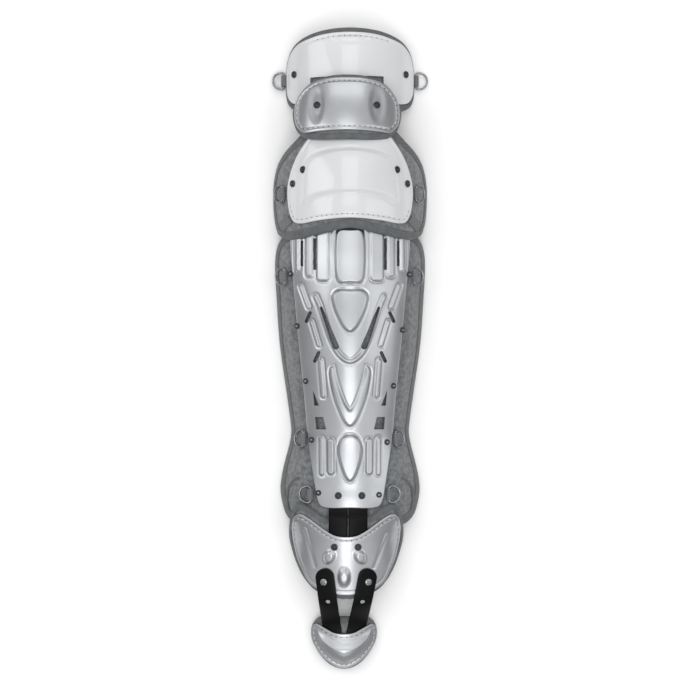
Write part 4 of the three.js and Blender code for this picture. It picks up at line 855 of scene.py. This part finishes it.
# Black vinyl: faced webbing with a satin surface and a faint grain 1.5 mm wide
vinyl, tree, shader, place = start_material("black strap vinyl", Roughness=0.36, Specular_IOR_Level=0.1,
                                            Coat_Weight=0.02, Coat_Roughness=0.2)
grain = add_node(tree, "ShaderNodeTexNoise", {}, {"Vector": place, "Scale": 650.0, "Detail": 3.0})
scuffs = add_node(tree, "ShaderNodeTexNoise", {}, {"Vector": place, "Scale": 60.0, "Detail": 3.0})
surface_of(tree, shader, scuffs.outputs["Fac"], ("#040405", "#0b0c0c"), grain.outputs["Fac"], 0.25, 0.0003)

hinge_form = blend(raised(shin_form, under_strap), raised(instep_form, under_strap),
                   shin_plate_end - 1, shin_plate_end - 15)
for side, ends in zip(("left", "right"), hinge_lines):
    line = np.linspace(*ends, 70)
    strap = ribbon(f"hinge_strap_vinyl_{side}", hinge_form, line, np.full(70, strap_half), -strap_thick, 0,
                   vinyl)
    dress(strap, "strap_vinyl", f"hinge_strap_{side}")

# Instep pad and plate
# A bound pad whose two ears stand in front of the shin pad's lower end, and a silver plate with a
# concave top edge, two soft creases and three raised ovals. The plate's punched holes are not cut.
instep_plan = outline_of(instep_middle, instep_top, instep_width, instep_length, [
    (0, 0.145), (0.35, 0.145), (0.5, 0.09), (0.66, 0.03), (0.8, 0), (0.9, 0.03), (0.97, 0.13),
    (1, 0.3), (0.99, 0.4), (0.93, 0.54), (0.845, 0.675), (0.73, 0.8), (0.57, 0.905), (0.4, 0.955),
    (0.1, 1), (0, 1)])
instep_plate_plan = outline_of(instep_middle, instep_plate_top, instep_plate_width, instep_plate_length, [
    (0, 0.275), (0.2, 0.26), (0.37, 0.2), (0.55, 0.115), (0.7, 0.045), (0.85, 0), (0.95, 0.03),
    (1, 0.14), (0.995, 0.25), (0.96, 0.4), (0.9, 0.56), (0.81, 0.7), (0.69, 0.85), (0.5, 0.935),
    (0.25, 0.985), (0, 1)], 520)
instep_pad = pad("instep_pad_cloth", instep_form, instep_plan, instep_plate_plan, bound, most=1.2,
                 channels=[(hinge_form, line, strap_half, -strap_thick - 0.4) for line in hinge_lines],
                 rests=[(shin_form, shin_plan, 0.6), (shin_form, shin_plate_plan, shell_top + 0.6)])
dress(instep_pad, "pad_cloth", "instep_pad")

oval_rows = [(-0.304, 0.52, 8, 11, 0.35), (0.251, 0.52, 8, 11, -0.35), (-0.038, 0.77, 8.4, 14, 0)]
crease_rows = [((-58, -653.0), (-44.8, -702.0)), ((47, -661.0), (30.7, -703.0))]


def instep_relief(plan):
    """Three raised ovals, and a soft crease on each side."""
    proud = np.zeros(len(plan))
    for a, b, wide, long, lean in oval_rows:
        x = plan[:, 0] - instep_middle - a * instep_plate_width / 2
        y = plan[:, 1] - instep_plate_top + b * instep_plate_length
        u, v = x * math.cos(lean) - y * math.sin(lean), x * math.sin(lean) + y * math.cos(lean)
        proud += 1.7 * relief * ease((1.1 - np.hypot(u / wide, v / long)) / 0.75)
    for start, end in crease_rows:
        proud -= 0.9 * np.exp(-(from_line(plan, [start, end])[0] / 2.2) ** 2)
    return proud


instep_plate = plate("instep_plate", instep_form, instep_plate_plan, instep_relief, silver_paint, rings=48,
                     groove=0.4)
dress(instep_plate, "silver_plate", "instep_shell")
sewn_line = walk(instep_form, instep_plate_plan, sewing_inset)
upper = part_of(np.roll(sewn_line, 260, axis=0),
                lambda p: p[:, 1] > instep_plate_top - 0.36 * instep_plate_length)
sew("instep_stitches", instep_form, upper, shell_top - 0.2)

# Toe straps
# Black vinyl again: each is riveted on top of the instep plate, runs down over its edge and goes under the
# toe plate's top edge. Their tops are cut round, and each has a punched hole.
toe_middle, toe_top, toe_length, toe_width, toe_height, toe_foam = -8.0, -768.5, 72.7, 89.4, 20.0, 8.0
toe_form = make_form(toe_middle, toe_top, toe_length, toe_width / 2 + 1, toe_height, 0.8, [
    (0.0, 1, 1.00, 0.08), (0.4, 1, 0.98, -0.02), (0.8, 1, 0.82, -0.06), (1.0, 1, 0.60, -0.08)])
toe_plate_top, toe_plate_length, toe_plate_width = -780.6, 58.0, 84.0
toe_strap_form = blend(raised(instep_form, over_shell + strap_thick), raised(toe_form, under_strap),
                       instep_plate_top - instep_plate_length, toe_plate_top - 0.15 * toe_plate_length)
toe_strap_top = instep_plate_top - 0.67 * instep_plate_length - strap_half
toe_strap_end = toe_plate_top - 0.3 * toe_plate_length
hole_y, hole_radius = -749.0, 3.1
toe_strap_lines = []
turn = np.linspace(0, 2 * math.pi, 24, endpoint=False)
for side, sign in (("left", -1), ("right", 1)):
    top = np.array([instep_middle + sign * 0.37 * instep_width / 2, toe_strap_top])
    end = np.array([toe_middle + sign * 0.19 * instep_width / 2, toe_strap_end])
    toe_strap_lines.append([top, end])
    ahead = (end - top) / np.linalg.norm(end - top)
    far = np.linalg.norm(end - top)
    run = np.concatenate([-strap_half * np.cos(np.linspace(0.03, math.pi / 2, 16)), np.linspace(1, far, 90)])
    halves = np.where(run < 0, np.sqrt(np.maximum(strap_half ** 2 - run ** 2, 0)), strap_half)
    strap = ribbon(f"toe_strap_vinyl_{side}", toe_strap_form, top + ahead * run[:, None], halves,
                   -strap_thick, 0, vinyl)
    middle = top + ahead * (hole_y - top[1]) / ahead[1]
    hole = middle + hole_radius * np.stack([np.cos(turn), np.sin(turn)], axis=1)
    pierce(strap, [cutter(toe_strap_form, hole)])
    dress(strap, "strap_vinyl", f"toe_strap_{side}")

# Toe pad and plate
# The smallest pad, and a silver plate that is domed over the toes inside a flat rim, sewn all round.
toe_plan = outline_of(toe_middle, toe_top, toe_width, toe_length, [
    (0, 0.02), (0.4, 0.03), (0.7, 0.03), (0.86, 0.09), (0.96, 0.19), (1, 0.33), (0.965, 0.48),
    (0.86, 0.62), (0.69, 0.77), (0.47, 0.9), (0.22, 0.98), (0, 1)])
toe_plate_plan = outline_of(toe_middle, toe_plate_top, toe_plate_width, toe_plate_length, [
    (0, 0.215), (0.3, 0.19), (0.5, 0.12), (0.68, 0.05), (0.85, 0), (0.96, 0.05), (1, 0.2), (0.97, 0.4),
    (0.84, 0.58), (0.63, 0.77), (0.4, 0.9), (0.15, 0.985), (0, 1)], 440)
toe_pad = pad("toe_pad_cloth", toe_form, toe_plan, toe_plate_plan, bound, thick=toe_foam, most=0.6,
              channels=[(toe_strap_form, line, strap_half, -strap_thick - 0.4) for line in toe_strap_lines])
dress(toe_pad, "pad_cloth", "toe_pad")
toe_bulge = 5.0


def toe_dome(plan):
    """The dome inside the flat rim."""
    return toe_bulge * ease((inside(plan, toe_plate_plan[::4]) - 5.5) / 17)


toe_plate = plate("toe_plate", toe_form, toe_plate_plan, toe_dome, silver_paint, rings=40, groove=0.4,
                  bulge=toe_dome)
dress(toe_plate, "silver_plate", "toe_shell")
sew("toe_stitches", toe_form, walk(toe_form, toe_plate_plan, 4.6), shell_top - 0.25, closed=True)

# Tabs and D-rings
# Ten short loops of grey webbing, their tails sewn under the plates' edges. Each holds welded steel
# D-rings, chromed: two in a left tab and one in a right one, for the leg straps' hooks.
tab_half, tab_tail = 7.25, 10.0
wire, ring_inside, ring_depth = 2.6, 19.0, 12.0
ring_pitch = wire + clearance
loop_inner = wire / 2 + 1.5 * clearance

# Chromed steel: a clean mirror with faint handling marks
chrome, tree, shader, place = start_material("chromed steel", Metallic=1.0)
marks = add_node(tree, "ShaderNodeTexNoise", {}, {"Vector": place, "Scale": 300.0, "Detail": 3.0})
surface_of(tree, shader, marks.outputs["Fac"], ("#77797d", "#9c9fa3"))
gloss = add_node(tree, "ShaderNodeMapRange", {}, {
    "Value": marks.outputs["Fac"], "To Min": 0.08, "To Max": 0.24})
tree.links.new(gloss.outputs["Result"], shader.inputs["Roughness"])

tab_rows = [  # place, form, plate outline, centre, y, reach past the edge, tilt in degrees
    ("thigh", thigh_form, thigh_plate_plan, -65.8, 3.0, 58),
    ("knee", knee_form, knee_plate_plan, knee_top - 0.6 * knee_length, 4.6, 16),
    ("shin_high", shin_form, shin_plate_plan, shin_top - 0.177 * shin_length, 9.0, 16),
    ("shin_low", shin_form, shin_plate_plan, shin_top - 0.706 * shin_length, 4.6, 6),
    ("ankle", shin_form, shin_plate_plan, shin_top - 0.885 * shin_length, 6.4, 12)]


def tube(centres, ups, radius, sides=12):
    """Points and faces of a closed round wire along a closed line."""
    ahead = np.roll(centres, -1, axis=0) - np.roll(centres, 1, axis=0)
    ahead /= np.linalg.norm(ahead, axis=1, keepdims=True)
    side = np.cross(ahead, ups)
    angles = np.linspace(0, 2 * math.pi, sides, endpoint=False)
    points = np.stack([centres + radius * (math.cos(a) * side + math.sin(a) * ups) for a in angles], axis=1)
    return points.reshape(-1, 3), net(len(centres), sides, closed=True)


bow_points = 72
bow = outline_of(0, 0, 2, -1, [(0, 0), (0.76, 0), (1, 0.2), (0.9, 0.58), (0.55, 0.89), (0, 1)], bow_points)
for side, sign, rings in (("left", -1, 2), ("right", 1, 1)):
    for name, form, plan, y, reach, tilt in tab_rows:
        row = plan[np.argsort(np.abs(plan[:, 1] - y) + 1e3 * (plan[:, 0] * sign < 0))[:2]]
        edge = abs(row[:, 0].mean())
        spot = np.array([[sign * (edge + reach), y]])
        point, normal = lift(form, spot, 0)[0], normals_on(form, spot)[0]
        tangent = np.array([sign * normal[2], 0, -sign * normal[0]])
        tangent /= np.linalg.norm(tangent)
        angle = math.radians(tilt)
        out = tangent * math.cos(angle) + normal * math.sin(angle)
        up = normal * math.cos(angle) - tangent * math.sin(angle)
        along = np.cross(out, up)
        bar = point + normal * (wire / 2 + clearance)
        rise = (rings - 1) * ring_pitch
        middle = loop_inner + webbing / 2
        arc = np.linspace(0, math.pi, 20)
        path = np.concatenate([
            np.stack([np.cos(arc) * middle, np.sin(arc) * middle + rise], axis=1),
            np.stack([-np.cos(arc) * middle, -np.sin(arc) * middle], axis=1)])
        outward = np.concatenate([np.stack([np.cos(arc), np.sin(arc)], axis=1),
                                  np.stack([-np.cos(arc), -np.sin(arc)], axis=1)])
        section = [(0.5, 0.9), (0.35, 1), (-0.35, 1), (-0.5, 0.9), (-0.5, -0.9), (-0.35, -1), (0.35, -1),
                   (0.5, -0.9)]
        rows = [path + outward * webbing * a for a, _ in section]
        band = np.stack([bar + r[:, :1] * out + r[:, 1:] * up + along * tab_half * b
                         for r, (_, b) in zip(rows, section)], axis=1)
        loop = make_object(f"tab_webbing_{side}_{name}", band.reshape(-1, 3),
                           net(*band.shape[:2], closed=True), webbing_cloth)
        tail_line = np.stack([np.linspace(sign * (edge - tab_tail), sign * (edge + reach), 16),
                              np.full(16, y)], axis=1)
        tail = ribbon("tail", form, tail_line, np.full(16, tab_half), under_strap - webbing, under_strap,
                      webbing_cloth)
        dress(join(loop, tail), "webbing", f"tab_{side}_{name}")
        for k in range(rings):
            half, deep = (ring_inside + wire) / 2, ring_depth + wire
            centres = (bar + np.outer(bow[:, 1] * deep, out) + up * k * ring_pitch
                       - np.outer(bow[:, 0] * half, along))
            points, faces = tube(centres, np.tile(up, (bow_points, 1)), wire / 2)
            ring = make_object(f"ring_steel_{side}_{name}_{k + 1}", points, faces, chrome)
            dress(ring, "ring_steel", f"ring_{side}_{name}_{k + 1}")

# Rivets
# Each has a dark rolled ring with a bright domed centre. Six pairs hold the plates and straps, and ten
# small ones line the shin plate's sides. The toe straps have plain silver domes.
rivet_radius, rivet_rise, rivet_shank, side_radius = 4.6, 1.6, 1.9, 3.8

# Blackened steel: dark and half polished, a little brighter where it is worn
gunmetal, tree, shader, place = start_material("blackened steel", Metallic=0.9, Roughness=0.3)
worn = add_node(tree, "ShaderNodeTexNoise", {}, {"Vector": place, "Scale": 500.0, "Detail": 2.0})
surface_of(tree, shader, worn.outputs["Fac"], ("#2c2e31", "#56595d"))


def rivet(name, form, x, y, t, slot, node=None, radius=rivet_radius, plain=False, centre=None):
    """A turned rivet, spun from its side view and stood on the form."""
    dark = [(0, -t - press), (rivet_shank, -t - press), (rivet_shank, 0), (radius, 0),
            (1.02 * radius, 0.3), (0.95 * radius, 0.75 * rivet_rise), (0.8 * radius, rivet_rise),
            (0.64 * radius, 0.9 * rivet_rise), (0.58 * radius, 0.5 * rivet_rise), (0, 0.5 * rivet_rise)]
    bright = [(0, 0.3 * rivet_rise), (0.5 * radius, 0.3 * rivet_rise), (0.5 * radius, 0.75 * rivet_rise),
              (0.36 * radius, 1.0 * rivet_rise), (0.18 * radius, 1.08 * rivet_rise), (0, 1.1 * rivet_rise)]
    dome = dark[:3] + [(radius, 0), (radius, 0.25 * rivet_rise)] + [
        (radius * math.cos(a), rivet_rise * (0.25 + 0.75 * math.sin(a))) for a in (0.3, 0.6, 0.9, 1.2)] + [
        (0, rivet_rise)]
    spot = np.array([[x, y]])
    base, normal = lift(form, spot, t + clearance)[0], normals_on(form, spot)[0]
    frame_of = np.array(Vector(normal).to_track_quat("Z", "Y").to_matrix())
    parts = []
    turned = ((dome, chrome),) if plain else ((dark, gunmetal), (bright, centre or gunmetal))
    for profile, material in turned:
        turn = np.linspace(0, 2 * math.pi, 28, endpoint=False)
        rows = np.array([[(r * math.cos(a), r * math.sin(a), h) for a in turn] for r, h in profile])
        points = rows.reshape(-1, 3) @ frame_of.T + base
        parts.append(make_object(name, points, net(len(profile), len(turn)), material, crease=60))
    return dress(join(*parts), slot, *([node] if node else []))


shin_rivet_across = hinge_across + 2
rivet_rows = [
    ("thigh", thigh_form, 0, 0.865 * thigh_plate_width / 2, thigh_top - 0.555 * thigh_length),
    ("cap", cap_form, cap_middle, cap_rivet_across, cap_rivet_y),
    ("knee_high", knee_form, 0, 0.735 * knee_plate_width / 2, knee_top - 0.405 * knee_length),
    ("knee_low", knee_form, 0, 0.9 * knee_plate_width / 2, knee_top - 0.52 * knee_length),
    ("shin", shin_form, 0, shin_rivet_across, shin_plate_end + 0.042 * plate_length),
    ("instep", instep_form, instep_middle, shin_rivet_across, instep_plate_top - 0.4 * instep_plate_length)]
for side, sign in (("left", -1), ("right", 1)):
    for name, form, middle, x, y in rivet_rows:
        level = shell_top - (dimple_deep if name == "cap" else 0)
        rivet(f"{name}_rivet_{side}", form, middle + sign * x, y, level, "rivet_dark",
              f"rivet_{name}_{side}")
    y = toe_strap_top - rivet_radius
    x = instep_middle + sign * 0.37 * instep_width / 2
    lean = (toe_middle - instep_middle - sign * 0.18 * instep_width / 2) / (toe_strap_top - toe_strap_end)
    x += lean * rivet_radius
    rivet(f"toe_strap_rivet_{side}", instep_form, x, y, over_shell + strap_thick, "rivet_silver",
          f"rivet_toe_strap_{side}", plain=True)
side_rivets = [(-75.5, -321.2), (-67.2, -389.2), (-56.2, -460.7), (-48.5, -537.4), (-40.2, -605.8),
               (75.4, -322.1), (66.7, -394.3), (55.0, -466.8), (46.8, -540.3), (36.9, -608.3)]
for number, (x, y) in enumerate(side_rivets):
    rivet(f"shin_side_rivet_{number + 1}", shin_form, x, y, shell_top, "rivet_dark", radius=side_radius,
          centre=chrome)

# Studio
# A pale table top under soft panels: one overhead towards the foot, one towards the thigh, and weaker
# ones at the sides and at both ends. The camera looks straight down through a long lens.
floor_size, floor_drop = 8.0, 0.0005
bpy.ops.mesh.primitive_plane_add(size=floor_size, location=(0, 0, -floor_drop))
floor = bpy.context.object
floor.name = "table_top"
bpy.ops.object.transform_apply(location=True)
# Matt white paint, a shade uneven
paint, tree, shader, place = start_material("matt table paint", Roughness=0.9, Specular_IOR_Level=0.2)
drift = add_node(tree, "ShaderNodeTexNoise", {}, {"Vector": place, "Scale": 1.5, "Detail": 2.0})
surface_of(tree, shader, drift.outputs["Fac"], ("#f6f6f6", "#fbfbfb"))
floor.data.materials.append(paint)

panels = [  # name, place, size across and along, watts
    ("shin_box", (0, -1.2, 3.3), (1.1, 1.5), 15.0),
    ("thigh_box", (0, 1.0, 3.4), (1.5, 1.4), 9.0),
    ("left_panel", (-1.6, 0.6, 1.5), (0.8, 1.6), 7.0),
    ("right_panel", (1.6, 0.0, 1.4), (0.7, 1.8), 4.0),
    ("toe_strip", (0.1, -1.9, 1.2), (1.6, 0.4), 1.6),
    ("thigh_strip", (0.0, 1.9, 1.3), (1.6, 0.4), 4.0)]
for name, spot, (across, along), watts in panels:
    bpy.ops.object.light_add(type="AREA", location=spot)
    lamp = bpy.context.object
    lamp.name = name
    lamp.data.shape = "RECTANGLE"
    lamp.data.size, lamp.data.size_y = across, along
    lamp.data.energy = watts
    lamp.rotation_euler = (Vector((0, 0, 0.05)) - Vector(spot)).to_track_quat("-Z", "Y").to_euler()
world = bpy.data.worlds.new("studio air")
bpy.context.scene.world = world
world.use_nodes = True
tree = world.node_tree
sky = add_node(tree, "ShaderNodeTexCoord", {}, {}).outputs["Generated"]
upward = add_node(tree, "ShaderNodeSeparateXYZ", {}, {"Vector": sky}).outputs["Z"]
glow = add_node(tree, "ShaderNodeMapRange", {}, {"Value": upward, "To Min": 0.25, "To Max": 1.08})
tree.nodes["Background"].inputs["Color"].default_value = linear("#ffffff")
tree.links.new(glow.outputs["Result"], tree.nodes["Background"].inputs["Strength"])

camera_height, guard_level, view_width, sensor = 3.0, 0.05, 0.91, 36.0
bpy.ops.object.camera_add(location=(0, 0, camera_height), rotation=(0, 0, 0))
camera = bpy.context.object
camera.name = "camera"
camera.data.sensor_width = sensor
camera.data.lens = sensor * (camera_height - guard_level) / view_width
bpy.context.scene.camera = camera
bpy.context.scene.view_settings.view_transform = "Standard"
